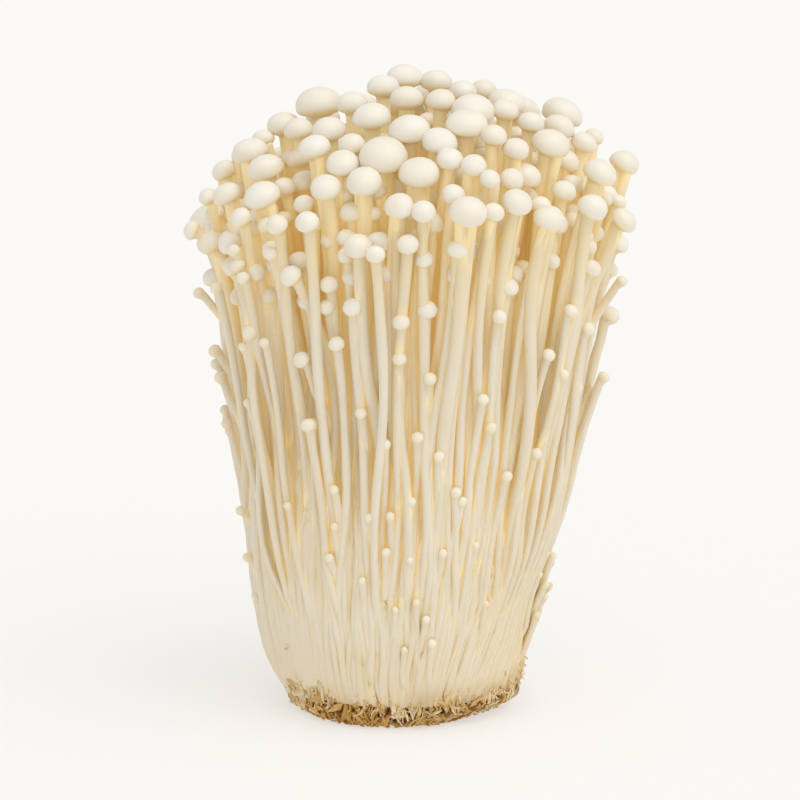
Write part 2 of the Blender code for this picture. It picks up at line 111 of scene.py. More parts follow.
# The small pins that the solid leaves out
PIN_CAPS = [
    (-36.4, 97.7, 2.9), (-38.6, 104.0, 2.9), (-31.6, 83.0, 2.2), (-36.4, 82.1, 2.2),
    (-35.3, 69.3, 2.1), (-21.7, 64.2, 3.1), (-9.6, 66.9, 2.7), (-4.1, 59.9, 2.5),
    (3.3, 61.4, 2.7), (-15.7, 49.6, 2.1), (42.2, 86.2, 3.2), (42.8, 74.0, 2.5),
    (36.6, 75.8, 2.5), (18.3, 70.1, 2.5), (20.1, 63.7, 2.5), (8.2, 57.1, 2.5),
    (30.4, 57.8, 2.7), (37.3, 61.4, 2.5), (23.7, 52.6, 2.5), (33.0, 53.1, 2.3),
    (12.1, 49.0, 2.3), (13.5, 46.9, 2.1), (1.9, 46.9, 2.1), (-35.9, 43.3, 2.3),
    (-36.4, 35.3, 2.1), (-33.9, 25.5, 1.7), (-7.7, 43.3, 2.1), (-2.9, 43.5, 2.0),
    (-3.9, 35.3, 2.1), (-9.3, 28.9, 1.5), (-15.7, 41.2, 1.7), (-16.8, 34.1, 1.9),
    (-26.4, 46.0, 1.9), (16.6, 36.9, 1.7), (1.6, 33.5, 1.7), (9.1, 35.1, 1.9),
    (34.4, 35.1, 1.9), (33.7, 30.9, 1.7), (33.5, 27.1, 1.5), (3.0, 23.9, 1.5),
    (5.3, 20.1, 1.7), (6.6, 14.6, 2.0), (18.9, 23.7, 1.3), (0.3, 13.3, 1.1),
    (-1.8, 22.3, 1.3), (33.9, 33.2, 1.6), (33.1, 29.0, 1.6), (32.4, 25.2, 1.5),
    (31.4, 22.6, 1.3), (33.3, 36.2, 1.5), (31.8, 31.4, 1.4),
]
PIN_STEPS_OUT = 1.2
PIN_AT_OUTLINE = 0.90
PIN_SCATTER = 0.30
# Stems that lean sideways more than their neighbours: (across, up) of the cap to the lean
LEANING = {
    (-48.3, 108.5): -0.75,
    (-46.6, 94.2): -0.55,
    (-43.0, 81.1): -0.35,
    (-25.7, 98.2): -0.32,
    (-23.2, 79.1): -0.30,
    (50.5, 110.9): 0.12,
    (49.8, 96.9): 0.25,
    (-35.9, 43.3): -0.60,
    (-36.4, 35.3): -0.70,
}

# Brown stains and specks, read in the same way: (across, up, radius, strength)
STAINS = [
    (-4.1, 23.6, 0.8, 1.0), (-26.4, 45.9, 1.6, 0.5), (-23.4, 43.6, 1.3, 0.5),
    (-16.8, 34.1, 1.1, 0.6), (-10.9, 11.8, 1.2, 0.6), (-9.3, 10.0, 1.1, 0.7),
    (-27.5, 13.4, 1.2, 0.7), (-8.2, 4.5, 1.4, 0.8), (4.3, 11.8, 0.8, 0.9),
    (20.7, 30.0, 1.2, 0.6), (33.0, 28.9, 2.6, 0.45), (-25.0, 5.0, 2.2, 0.7),
    (26.1, 7.3, 2.6, 0.7), (-24.8, 38.0, 0.9, 0.5), (-17.2, 40.5, 0.9, 0.5),
    (6.2, 19.0, 0.9, 0.5), (21.5, 17.5, 1.0, 0.5), (24.0, 22.5, 0.9, 0.35),
]
FAR_STAINS = 16
FAR_STAIN_HEIGHTS = (8.0, 48.0)
FAR_STAIN_RADII = (0.7, 1.6)
FAR_STAIN_STRENGTHS = (0.4, 0.9)
STAIN_TALLER = 0.55
STAIN_ENDS = 2.5
STAINS_BELOW = 60.0

# The rest of the solid's mushrooms, which are filled by rule
CROWN_SEEDS = 94
CROWN_EDGE_SHARE = 0.97
CROWN_EDGE_HEIGHT = 119.5
CROWN_CAP_WIDTHS = (6.2, 9.6)
CROWN_UNEVEN = 5.0
FAR_FROM_Y = 3.0
NEAR_SUNK = 4.5
NEAR_LIMIT_SHARE = 0.72
NEAR_WIDTH_SHARE = 0.8
FAR_FLANK_CAPS = 25
FAR_FLANK_HEIGHTS = (56.0, 118.0)
FAR_FLANK_WIDTHS = (2.6, 6.2)
FAR_FLANK_SHARE = 1.01
FAR_FLANK_END = 0.03
GOLDEN_ANGLE = pi * (3 - sqrt(5))
GOLDEN_SHARE = (sqrt(5) - 1) / 2
CAP_CLEARANCE = 0.92

# Mushrooms between them that only this finer model has
FILLERS = 330
FILLER_SHARES = (0.72, 0.945)
FILLER_BELOW_CROWN = (6.0, 24.0)
FILLER_WIDTHS = (3.6, 5.6)
FILLER_FOOT = (0.80, 1.0)
FILLER_LEAN = 0.05
CORE_FILLERS = 300
CORE_FILLER_REACH = 0.9
CORE_FILLER_BELOW_CROWN = (5.0, 15.0)
CORE_FILLER_WIDTHS = (4.2, 7.0)
CORE_FILLER_ROOTS = (92.0, 52.0)
CORE_FILLER_OUTER_SHARES = (0.35, 0.85)
HIDDEN_STEMS_EACH = 2
HIDDEN_STEM_LEAST_SHARE = 0.60
HIDDEN_STEM_ASIDE = 0.24
HIDDEN_STEM_WIDTHS = (3.0, 5.2)
HIDDEN_STEM_FOOT = (0.1, 1.0)
HIDDEN_STEM_TURN = 0.13
HIDDEN_STEM_LEAN = 0.08
FOOT_TURN = 0.045
LEAN_TURN = -0.7
FINE_PINS = 70
FINE_PIN_HEIGHTS = (14.0, 82.0)
FINE_PIN_WIDTHS = (1.4, 2.9)
FINE_PIN_LEAN = 0.12

# Stem and cap proportions
STEM_WIDTH_LEAST = 1.2
STEM_WIDTH_PER_CAP = 0.28
STEM_FOOT_SHARE = 0.66
OUTWARD_TILT = 0.26
STEM_ROOT = 9.0
BEND_REACH = 36.0
LEAN_REACH = 70.0
SWAY = 2.0
SWAY_SLOW = 4.4
SWAY_FAST = 12.0
SWAY_FAST_SHARE = 0.3
SWAY_DEEP_SHARE = 0.7
SWAY_FULL_HEIGHT = 90.0
CAP_SEAT = 0.09
CAP_TILT = 1.7
CAP_SHIFT = 0.05
SMALL_CAP = 4.0
BROAD_CAP = 6.5
STEM_TIP = [(-1.0, 0.98), (-0.5, 0.85), (-0.13, 0.5)]

# How closely a point is hemmed in by the flesh round it: the reach that is looked over, how
# far off the skin a look starts, how much less a hit counts at full reach, a direction that
# sets how the looks are turned, the looks' slants in degrees with how many there are of each,
# and how deep inside the bunch, as a share of its width, a point counts as wholly hemmed in
CLOSE_REACH = 6.5
CLOSE_LIFT = 0.12
CLOSE_FADES = 0.6
CLOSE_SIDEWAYS = (0.31, 0.17, 0.93)
CLOSE_LOOKS = [(0, 1), (38, 3), (66, 4)]
CLOSE_INSIDE = 0.42
CLOSE_INSIDE_BELOW = 96.0
# Between these values of closeness the flesh gets golden painted shade and a painted glow, the glow
# from these heights up
CLOSE_GOLD = (0.25, 0.98)
CLOSE_GOLD_MOST = 0.62
CLOSE_GLOW = (0.30, 0.95)
CLOSE_GLOW_MOST = 0.90
CLOSE_STARTS = (12.0, 46.0)
# Under the crown the whole inside of the bunch gets golden painted shade and a painted glow: from where
# to where, as shares of the bunch's width in from the flank, and between which heights the glow sets in
INNER_GOLD = (0.04, 0.32)
INNER_GLOW_IN = (0.0, 0.14)
INNER_GLOW_UP = (58.0, 98.0)
INNER_GLOW_MOST = 0.58
# The painted glow under a cap's rim, and how much of the golden painted shade and the painted glow a
# white cap keeps off
UNDER_GLOW = 0.40
CAP_HIDES_GOLD = 0.75
CAP_HIDES_GLOW = 0.6

# The fluted butt: (height, share of the flank's width)
BUTT_LEVELS = [
    (6.0, 0.915), (10.0, 0.935), (16.0, 0.955), (22.0, 0.968), (29.0, 0.970), (38.0, 0.960),
    (48.0, 0.935), (60.0, 0.900), (76.0, 0.84), (88.0, 0.75), (96.0, 0.62), (102.0, 0.42),
]
BUTT_TIP = 3.0
BUTT_SIDES = 960
BUTT_RINGS = 54
STRAPS = 118
STRAP_JITTER = 0.62
SEAM_DEPTH = 0.55
SEAM_HALF_WIDTH = 0.15
SEAM_FINENESS = 24
LINES = 330
LINE_DEPTH = 0.16

# Stems that have grown into the butt and stand half out of it as ribs
RIBS = 300
RIB_RADII = (0.36, 0.78)
RIB_THICKER = 0.5
RIB_TOPS = (15.0, 78.0)
RIB_ROOT = 5.6
RIB_STEPS = 14
RIB_ENDS = 9.0
RIB_WANDER = 0.012
# How much painted shade lies over the ribbed lower butt
RIB_CREASE = 0.30
FAN_ANGLE = -0.85
FAN_SPREAD = 0.45
FAN_TURN = 0.010

# Scabs on the brown stains
SCABS_EACH = 5
SCAB_RADII = (0.12, 0.38)

# Where the stems come clear of the butt, and how the pins on it stand off and are coloured
FLANK_START = 12.0
FLANK_START_SHARE = 0.905
FLANK_CLEAR_HEIGHT = 46.0
PIN_STANDS_OFF = 0.5
PIN_WHITENESS = 0.72

# The smooth fused patch low on the left of the front: its angle, spread and height
PATCH_ANGLE = -2.42
PATCH_SPREAD = 0.32
PATCH_HEIGHTS = (20.0, 36.0)
PATCH_SINKS = 0.028

# The crust of growing medium
CRUST_LEVELS = [(0.0, 0.78), (0.08, 0.82), (0.2, 0.85), (0.5, 0.88), (0.82, 0.90), (1.0, 0.91)]
CRUST_BULGE = [
    (0.0, 0.84), (0.12, 0.90), (0.4, 0.96), (0.75, 0.98), (1.0, 0.985), (1.3, 1.0), (1.7, 1.03),
]
CRUST_TOP = (1.20, 0.55)
CRUST_LOWER_LEFT = 0.25
CRUST_HIGHEST = 10.0
CRUST_SIDES = 360
SEAM_HEIGHT = 6.4
SEAM_WAVE = 0.9
SEAM_WAVES = 3
SEAM_TURN = 0.7
SEAM_RISE_RIGHT = 1.0
FLAKES = 640
CRUMBS = 420
COILS = 120
STRANDS = 600
SPLINTERS = 300
CRUMB_RADII = (0.3, 0.95)
FLAKE_LENGTHS = (2.2, 5.6)
FLAKE_HALF_WIDTHS = (0.30, 0.80)
FLAKE_HALF_THICKNESSES = (0.09, 0.18)
COIL_REACHES = (1.2, 3.6)
COIL_HALF_WIDTHS = (0.12, 0.3)
STRAND_LENGTHS = (1.6, 4.2)
STRAND_HALF_WIDTHS = (0.16, 0.50)
SPLINTER_HEIGHTS = (0.6, 3.6)
SPLINTER_LENGTHS = (1.6, 4.0)
SPLINTER_HALF_WIDTHS = (0.25, 0.6)
THREADS_ANGLE = -1.55
THREADS_SPREAD = 0.27
CURLED_ANGLE = -0.65
CURLED_SPREAD = 0.60
CURLED_SHARE = 0.16
CURLED_HEIGHTS = (0.5, 4.5)
LEFT_TUCK_SHARE = 0.08
LEFT_TUCK_HEIGHTS = (3.0, 9.0)
FLOOR_CLEARANCE = 0.03


# The bunch's outer form

def eased(value, start, end):
    """0 before start, 1 after end, and smooth between them."""
    t = min(1.0, max(0.0, (value - start) / (end - start)))
    return t * t * (3 - 2 * t)


def part_way(ends, share):
    return ends[0] + (ends[1] - ends[0]) * share


def bell(angle, middle, spread):
    """1 at the middle angle, falling to 0 on both sides of it."""
    turned = (angle - middle + pi) % TURN - pi
    return exp(-((turned / spread) ** 2))


def round_axis(angle, reach=1, up=0):
    """A direction or a place at an angle round the bunch's axis."""
    return Vector((cos(angle) * reach, sin(angle) * reach, up))


def foot_share(height):
    """1 on the ground, falling to 0 where the tucked-in foot ends."""
    return 1 - eased(height, 0, FOOT_TUCK_ENDS)


def flank_half_width(height):
    """Half the bunch's width at a height, up its flaring flank."""
    return FOOT_HALF_WIDTH + FLARE * height - FOOT_TUCK * foot_share(height)


def waist(angle, height):
    """The share of the flank's width that is left where the right side is drawn in."""
    dent = WAIST_DENT * eased(height, *WAIST_STARTS) * (1 - eased(height, *WAIST_ENDS))
    return 1 - dent * max(0.0, cos(angle)) ** 2 / flank_half_width(height)


def middle_x(height):
    """The bunch leans a little to the right of its foot, which is tucked in on the left."""
    lean = SIDEWAYS_LEAN * min(height, LEAN_STOPS_AT)
    return FOOT_MIDDLE_X + lean + FOOT_SHIFT * foot_share(height)


def around(x, y, height):
    """How far out a point lies, 0 on the axis and 1 on the flank, and at which angle."""
    half = flank_half_width(height)
    across, deep = (x - middle_x(height)) / half, y / (half * DEPTH_SHARE)
    angle = atan2(deep, across)
    return hypot(across, deep) / waist(angle, height), angle


def crown_height(x, y):
    """Height of the domed crown that the tall mushrooms' caps make together."""
    fall_across = CROWN_FALL_ACROSS * (x - CROWN_MIDDLE_X) ** 2
    return CROWN_HEIGHT - fall_across - CROWN_FALL_DEEP * y * y


def outside(point):
    """Above 0 outside the bunch's form, 0 on it, and below 0 inside."""
    half = flank_half_width(point[2])
    above_crown = (point[2] - crown_height(point[0], point[1])) / half
    return max(around(*point)[0] - 1, above_crown)


def at_flank(share, angle, height):
    """The point at a share of the way out to the flank, in the direction of an angle."""
    out = share * flank_half_width(height) * waist(angle, height)
    across = middle_x(height) + out * cos(angle)
    return Vector((across, out * DEPTH_SHARE * sin(angle), height))


# Placing the mushrooms

@dataclass
class Mushroom:
    """One stem and cap: the cap's middle and width, and how its stem leans and turns."""

    cap: Vector
    width: float
    lean: float = 0.0
    kind: str = "crown"
    foot_out: float = 0.0
    foot_turn: float = 0.0

    def __post_init__(self):
        self.share, self.angle = around(*self.cap)

    @property
    def stem_radius(self):
        return (STEM_WIDTH_LEAST + STEM_WIDTH_PER_CAP * self.width) / 2

    def root(self):
        """The stem's foot, as far out in the foot as its cap is at its own height."""
        inset = 1 - self.stem_radius / flank_half_width(0)
        share = self.share + (1 - self.share) * self.foot_out
        return at_flank(min(share, inset), self.angle + self.foot_turn, 0)

    def tilt(self):
        """How much more than the straight stem the cap leans outward, as a slope."""
        return round_axis(self.angle) * self.share**2 * OUTWARD_TILT + Vector((self.lean, 0, 0))

    def axis(self):
        """The way the cap points."""
        return ((self.cap - self.root()).normalized() + self.tilt() * CAP_TILT).normalized()

    def stem_point(self, height):
        """The stem's middle at a height: straight up from the root, then bent to the cap."""
        root = self.root()
        rise = height / self.cap.z
        below = self.cap.z - height
        reach = min(LEAN_REACH if self.lean else BEND_REACH, 0.8 * self.cap.z)
        bent = below * (1 - below / reach) ** 2 if below < reach else 0
        return root.lerp(self.cap, rise) - self.tilt() * bent

    def stem_radius_at(self, height):
        rise = height / self.cap.z
        return self.stem_radius * (STEM_FOOT_SHARE + (1 - STEM_FOOT_SHARE) * rise)


def eye_and_up():
    """The eye's place and the picture's upward direction."""
    tilt = radians(EYE_ELEVATION)
    back = Vector((0, -cos(tilt), sin(tilt)))
    upward = Vector((0, sin(tilt), cos(tilt)))
    return Vector((0, 0, EYE_HEIGHT_AIM)) + back * EYE_DISTANCE, upward


def seen_at(across, up):
    """The line of sight through a place in the picture, as the eye and a unit direction."""
    eye, upward = eye_and_up()
    above_aim = up - EYE_HEIGHT_AIM * cos(radians(EYE_ELEVATION))
    target = Vector((across, 0, EYE_HEIGHT_AIM)) + upward * above_aim
    return eye, (target - eye).normalized()


def first_on_form(eye, sight):
    """Where a line of sight first meets the bunch's form, or passes nearest to it."""
    nearest, least = None, inf
    for step in range(int(SIGHT_SPAN / SIGHT_STEP)):
        point = eye + sight * (EYE_DISTANCE - SIGHT_NEAR_SIDE + step * SIGHT_STEP)
        value = outside(point)
        if value <= 0:
            return point
        if value < least:
            nearest, least = point, value
    return nearest


def any_aside(draw):
    return Vector((draw.uniform(-1, 1), draw.uniform(-1, 1), 0))


def is_clear(cap, width, placed):
    return all(
        (cap - other.cap).length > CAP_CLEARANCE * (width + other.width) / 2
        for other in placed
    )


def add_seen(placed, caps, kind):
    """Adds the caps read from the front, the furthest first, each brought towards the eye
    until it clears the caps behind it."""
    for across, up, width in sorted(caps, key=lambda cap: -cap[1]):
        eye, sight = seen_at(across, up)
        cap = first_on_form(eye, sight)
        if kind == "pin":
            share, angle = around(*cap)
            if abs(cos(angle)) > PIN_AT_OUTLINE:
                turned = random.Random(f"pin {across} {up}").uniform(-PIN_SCATTER, PIN_SCATTER)
                cap = at_flank(share, angle + turned, cap.z)
            cap = cap - sight * PIN_STEPS_OUT
        for _ in range(MOST_STEPS_TO_CLEAR):
            if is_clear(cap, width, placed):
                break
            cap = cap - sight * SIGHT_STEP
        placed.append(Mushroom(cap, width, LEANING.get((across, up), 0.0), kind))


def add_clear(placed, mushrooms):
    """Adds the mushrooms whose caps clear those that stand already."""
    for one in mushrooms:
        if is_clear(one.cap, one.width, placed):
            placed.append(one)


def below_crown(flat, down):
    return Vector((flat.x, flat.y, crown_height(flat.x, flat.y) - down))


def crown_by_rule():
    """The rest of the crown, filled as seeds fill a sunflower: level with the seen caps on
    the far side, and lower between them on the near side."""
    for seed in range(CROWN_SEEDS):
        draw = random.Random(f"crown {seed}")
        share = CROWN_EDGE_SHARE * sqrt((seed + 0.5) / CROWN_SEEDS)
        flat = at_flank(share, seed * GOLDEN_ANGLE, CROWN_EDGE_HEIGHT)
        far = flat.y > FAR_FROM_Y
        sunk = draw.uniform(0, CROWN_UNEVEN) + (0 if far else NEAR_SUNK)
        width = draw.uniform(*CROWN_CAP_WIDTHS) * (1 if far else NEAR_WIDTH_SHARE)
        if far or share < NEAR_LIMIT_SHARE:
            yield Mushroom(below_crown(flat, sunk), width)


def far_flank():
    """Shorter mushrooms round the far flank, smaller the lower they stand."""
    for count in range(FAR_FLANK_CAPS):
        draw = random.Random(f"flank {count}")
        turn = FAR_FLANK_END + (1 - 2 * FAR_FLANK_END) * (count * GOLDEN_SHARE % 1)
        rise = (count + 0.5) / FAR_FLANK_CAPS
        width = part_way(FAR_FLANK_WIDTHS, rise**1.5) + draw.uniform(-0.2, 0.6)
        cap = at_flank(FAR_FLANK_SHARE, turn * pi, part_way(FAR_FLANK_HEIGHTS, rise))
        yield Mushroom(cap, width, kind="flank")


def fillers():
    """Slender mushrooms that stand in layers behind the outer ones, under the crown."""
    for count in range(FILLERS):
        draw = random.Random(f"filler {count}")
        share = draw.uniform(*FILLER_SHARES)
        angle = count * GOLDEN_ANGLE
        flat = at_flank(share, angle, CROWN_EDGE_HEIGHT)
        below = draw.uniform(*FILLER_BELOW_CROWN)
        width = draw.uniform(*FILLER_WIDTHS)
        cap = at_flank(share, angle, crown_height(flat.x, flat.y) - below)
        lean = draw.uniform(-FILLER_LEAN, FILLER_LEAN)
        yield Mushroom(cap, width, lean, "filler", draw.uniform(*FILLER_FOOT))


def core_fillers():
    """Mushrooms that stand packed under the crown's caps, all over the bunch."""
    for count in range(CORE_FILLERS):
        draw = random.Random(f"core filler {count}")
        share = CORE_FILLER_REACH * sqrt((count + 0.5) / CORE_FILLERS)
        flat = at_flank(share, count * GOLDEN_ANGLE, CROWN_EDGE_HEIGHT)
        cap = below_crown(flat, draw.uniform(*CORE_FILLER_BELOW_CROWN))
        width = draw.uniform(*CORE_FILLER_WIDTHS)
        yield Mushroom(cap, width, draw.uniform(-FILLER_LEAN, FILLER_LEAN), "core filler")


def fine_pins():
    """Thin young stems pressed against the far flank, smaller the lower they stand."""
    least, most = FINE_PIN_WIDTHS
    for count in range(FINE_PINS):
        draw = random.Random(f"fine pin {count}")
        rise = draw.random()
        turn = -0.06 + 1.12 * (count * GOLDEN_SHARE % 1)
        width = least + (most - least) * rise * draw.uniform(0.6, 1.0)
        cap = at_flank(1.0, turn * pi, part_way(FINE_PIN_HEIGHTS, rise))
        yield Mushroom(cap, width, draw.uniform(-FINE_PIN_LEAN, FINE_PIN_LEAN), "fine pin")


def hidden_stems(placed):
    """Stems that rise beside the tall ones and end inside their caps, so that no end shows."""
    hosts = [one for one in placed if one.kind == "crown" and one.share > HIDDEN_STEM_LEAST_SHARE]
    for number, host in enumerate(hosts):
        for count in range(HIDDEN_STEMS_EACH):
            draw = random.Random(f"hidden stem {number} {count}")
            cap = host.cap + any_aside(draw) * (HIDDEN_STEM_ASIDE * host.width)
            width = draw.uniform(*HIDDEN_STEM_WIDTHS)
            lean = draw.uniform(-HIDDEN_STEM_LEAN, HIDDEN_STEM_LEAN)
            foot_out = draw.uniform(*HIDDEN_STEM_FOOT)
            turned = draw.uniform(-HIDDEN_STEM_TURN, HIDDEN_STEM_TURN)
            yield Mushroom(cap, width, lean, "hidden stem", foot_out, turned)


def all_mushrooms():
    placed = []
    add_seen(placed, CROWN_CAPS, "crown")
    add_seen(placed, FLANK_CAPS, "flank")
    add_clear(placed, crown_by_rule())
    add_clear(placed, far_flank())
    add_seen(placed, PIN_CAPS, "pin")
    for by_rule in (fillers, fine_pins, core_fillers):
        add_clear(placed, by_rule())
    for number, one in enumerate(placed):
        one.foot_turn = random.Random(f"turn {number}").gauss(0, FOOT_TURN)
        if one.kind in ("flank", "crown"):
            one.foot_turn += LEAN_TURN * one.lean
    return placed + list(hidden_stems(placed))


# Building meshes

def new_object(name, data):
    made = bpy.data.objects.new(name, data)
    bpy.context.scene.collection.objects.link(made)
    return made


def stain_places():
    """Where the stains lie, as (place, radius, strength)."""
    places = []
    for across, up, radius, strength in STAINS:
        eye, sight = seen_at(across, up)
        places.append((first_on_form(eye, sight), radius, strength))
    for count in range(FAR_STAINS):
        draw = random.Random(f"stain {count}")
        turn = draw.uniform(0.02, 0.98) * pi
        place = at_flank(0.99, turn, draw.uniform(*FAR_STAIN_HEIGHTS))
        radius = draw.uniform(*FAR_STAIN_RADII)
        places.append((place, radius, draw.uniform(*FAR_STAIN_STRENGTHS)))
    return places


STAIN_PLACES = stain_places()


def stain_at(point):
    """How stained a point is, from 0 to 1."""
    stained = 0.0
    for place, radius, strength in STAIN_PLACES:
        away = point - place
        away.z *= STAIN_TALLER
        if away.length < STAIN_ENDS * radius:
            stained = max(stained, strength * exp(-((away.length / radius) ** 2)))
    return stained


class Skins:
    """Closed skins gathered into one mesh, with a colour's ingredients kept at each point: how much it
    is cap, how much painted shade it gets as a crease, its own chance value, how stained it is, and how
    much painted glow it gets under a cap's rim."""

    def __init__(self):
        self.points, self.faces, self.ingredients = [], [], []

    def add(self, rings, first, last, own, cap_shares=None, creases=None, glows=None):
        """Skins rings of points, all with as many points, and closes them on two ends."""
        start, sides = len(self.points), len(rings[0])
        points = [point for ring in rings for point in ring] + [first, last]
        bottom, top = start + len(points) - 2, start + len(points) - 1
        highest = bottom - sides
        self.points.extend(points)
        for low in range(start, highest, sides):
            for i in range(sides):
                j = (i + 1) % sides
                self.faces.append((low + i, low + j, low + sides + j, low + sides + i))
        for i in range(sides):
            j = (i + 1) % sides
            self.faces.append((bottom, start + j, start + i))
            self.faces.append((top, highest + i, highest + j))

        def spread(values):
            """A value for each point, from one for each ring."""
            values = values or [0.0] * len(rings)
            return [value for value in values for _ in range(sides)] + [values[0], values[-1]]

        creases = creases or [0.0] * len(points)
        for point, share, crease, glow in zip(points, spread(cap_shares), creases, spread(glows)):
            stain = stain_at(point) if point.z < STAINS_BELOW else 0.0
            self.ingredients.append((share, crease, own, stain, glow))

    def make(self, name, material):
        self.mesh = bpy.data.meshes.new(name)
        self.mesh.from_pydata([tuple(point * MM) for point in self.points], [], self.faces)
        self.mesh.shade_smooth()
        self.mesh.materials.append(material)
        return new_object(name, self.mesh)

    def keep_ingredients(self, hemmed, from_flank):
        """Stores the ingredients with the mesh, once it is known how hemmed in each point is and how
        far in from the flank, which set its golden painted shade and its painted glow."""
        share, crease, own, stain, glow = np.array(self.ingredients, np.float32).T
        across, deep, heights = np.array([tuple(point) for point in self.points], np.float32).T
        covered = (crown_height(across, deep) - heights) / flank_half_width(CROWN_HEIGHT)
        insides = np.minimum(from_flank, covered)
        # Golden painted shade where a point is hemmed in by flesh or deep inside the bunch, and where
        # it is a crease
        gold = np.maximum(ramp(hemmed, *CLOSE_GOLD) * CLOSE_GOLD_MOST, ramp(insides, *INNER_GOLD))
        deep = np.maximum(crease, gold * (1 - CAP_HIDES_GOLD * share))
        # Painted glow where a point is hemmed in, deep inside the bunch, and under a cap's rim
        close = ramp(hemmed, *CLOSE_GLOW) * ramp(heights, *CLOSE_STARTS) * CLOSE_GLOW_MOST
        inner = ramp(np.where(share > 0, insides, from_flank), *INNER_GLOW_IN)
        inner *= ramp(heights, *INNER_GLOW_UP) * INNER_GLOW_MOST
        light = np.maximum(np.maximum(close, inner) * (1 - CAP_HIDES_GLOW * share), glow)
        values = {"cap_share": share, "painted_shade": deep, "own_chance": own, "stain": stain,
                  "painted_glow": light}
        for label, value in values.items():
            attribute = self.mesh.attributes.new(label, "FLOAT", "POINT")
            attribute.data.foreach_set("value", np.ascontiguousarray(value, np.float32))


def ramp(values, start, end):
    """0 below start, 1 above end and smooth between them, for many values at once."""
    t = np.clip((values - start) / (end - start), 0, 1)
    return t * t * (3 - 2 * t)


def keep_closeness(gathered):
    """Looks out from each point of every skin, and keeps how much of its view is near flesh."""
    points, faces = [], []
    for skins in gathered:
        start = len(points)
        points.extend(skins.points)
        faces.extend(tuple(start + index for index in face) for face in skins.faces)
    tree = BVHTree.FromPolygons(points, faces)
    for skins in gathered:
        count = len(skins.points)
        normals = np.empty(count * 3, np.float32)
        skins.mesh.vertex_normals.foreach_get("vector", normals)
        normals = normals.reshape(-1, 3)
        side = np.cross(normals, CLOSE_SIDEWAYS)
        side /= np.maximum(np.linalg.norm(side, axis=1, keepdims=True), 1e-6)
        other = np.cross(normals, side)
        places = np.array([tuple(point) for point in skins.points]) + normals * CLOSE_LIFT
        from_flank = np.array([1 - around(*point)[0] for point in skins.points], np.float32)
        heights = np.array([point.z for point in skins.points])
        inside = (heights < CLOSE_INSIDE_BELOW) & (from_flank > CLOSE_INSIDE)
        hemmed = np.zeros(count, np.float32)
        seekers = np.flatnonzero(~inside).tolist()
        starts = places.tolist()
        for slant, looks in CLOSE_LOOKS:
            out, over = cos(radians(slant)), sin(radians(slant))
            for look in range(looks):
                turn = TURN * look / looks + slant
                ways = normals * out + (side * cos(turn) + other * sin(turn)) * over
                ways = ways.tolist()
                for i in seekers:
                    away = tree.ray_cast(starts[i], ways[i], CLOSE_REACH)[3]
                    if away is not None:
                        hemmed[i] += 1 - CLOSE_FADES * away / CLOSE_REACH
        hemmed /= sum(looks for _, looks in CLOSE_LOOKS)
        hemmed[inside] = 1.0
        skins.keep_ingredients(hemmed, from_flank)


def ring_round(middle, axis, radius, sides, turn=0.0, oval=1.0):
    """Points of a ring square to an axis."""
    side = axis.cross(Vector((0, 1, 0))).normalized()
    other = axis.cross(side)
    return [
        middle
        + side * (radius * oval * cos(turn + TURN * i / sides))
        + other * (radius / oval * sin(turn + TURN * i / sides))
        for i in range(sides)
    ]


def smooth_patch(angle, height):
    """1 in the smooth fused patch, and 0 away from it."""
    return bell(angle, PATCH_ANGLE, PATCH_SPREAD) * (1 - eased(height, *PATCH_HEIGHTS))


def stem_path(mushroom, draw):
    """A function from height to the stem's middle, with a slow sway of its own, and sunk in
    the butt low down."""
    phases = [(draw.uniform(0, TURN), draw.uniform(0, TURN)) for _ in range(2)]
    amount = SWAY * draw.uniform(0.4, 1.3) * min(1, mushroom.cap.z / SWAY_FULL_HEIGHT)

    def middle(height):
        point = mushroom.stem_point(height)
        rise = height / mushroom.cap.z
        free = sin(pi * min(1, rise)) * amount
        waves = [
            sin(SWAY_SLOW * rise + slow) + SWAY_FAST_SHARE * sin(SWAY_FAST * rise + fast)
            for slow, fast in phases
        ]
        point.x += free * waves[0]
        point.y += free * SWAY_DEEP_SHARE * waves[1]
        out, angle = around(*point)
        clear = min(FLANK_CLEAR_HEIGHT, 0.8 * mushroom.cap.z)
        start = min(FLANK_START, 0.35 * mushroom.cap.z)
        free_share = eased(height, start, clear)
        most = FLANK_START_SHARE + (1.05 - FLANK_START_SHARE) * free_share
        most -= PATCH_SINKS * smooth_patch(angle, height)
        if mushroom.kind in ("pin", "fine pin"):
            most += free_share * PIN_STANDS_OFF / FOOT_HALF_WIDTH
            out += free_share * (1 - rise) * PIN_STANDS_OFF / FOOT_HALF_WIDTH
        return at_flank(min(out, most), angle, height)

    return middle


def cap_profile(width, stem_radius):
    """The cap's outline as (height, radius) in millimetres from its widest level, from the
    neck to the top. Young caps are nearly round, and broad ones are domes with a flatter
    underside."""
    young = 1 - eased(width, 3.0, 8.5)
    dome = (0.40 + 0.07 * young) * width
    under = (0.205 + 0.155 * young) * width
    flatness = 1.45 - 0.4 * young
    profile = [
        (-under - 0.45 * stem_radius, stem_radius),
        (-under - 0.12 * stem_radius, stem_radius * 1.06),
    ]
    for turn in (72, 58, 44, 31, 19, 9):
        radius = width / 2 * cos(radians(turn)) ** (1 / flatness)
        if radius > stem_radius * 1.16:
            profile.append((-under * sin(radians(turn)) ** (1 / flatness), radius))
    for turn in (0, 12, 24, 36, 48, 59, 70, 80):
        radius = width / 2 * cos(radians(turn)) ** 0.95
        profile.append((dome * sin(radians(turn)), radius))
    return profile, dome


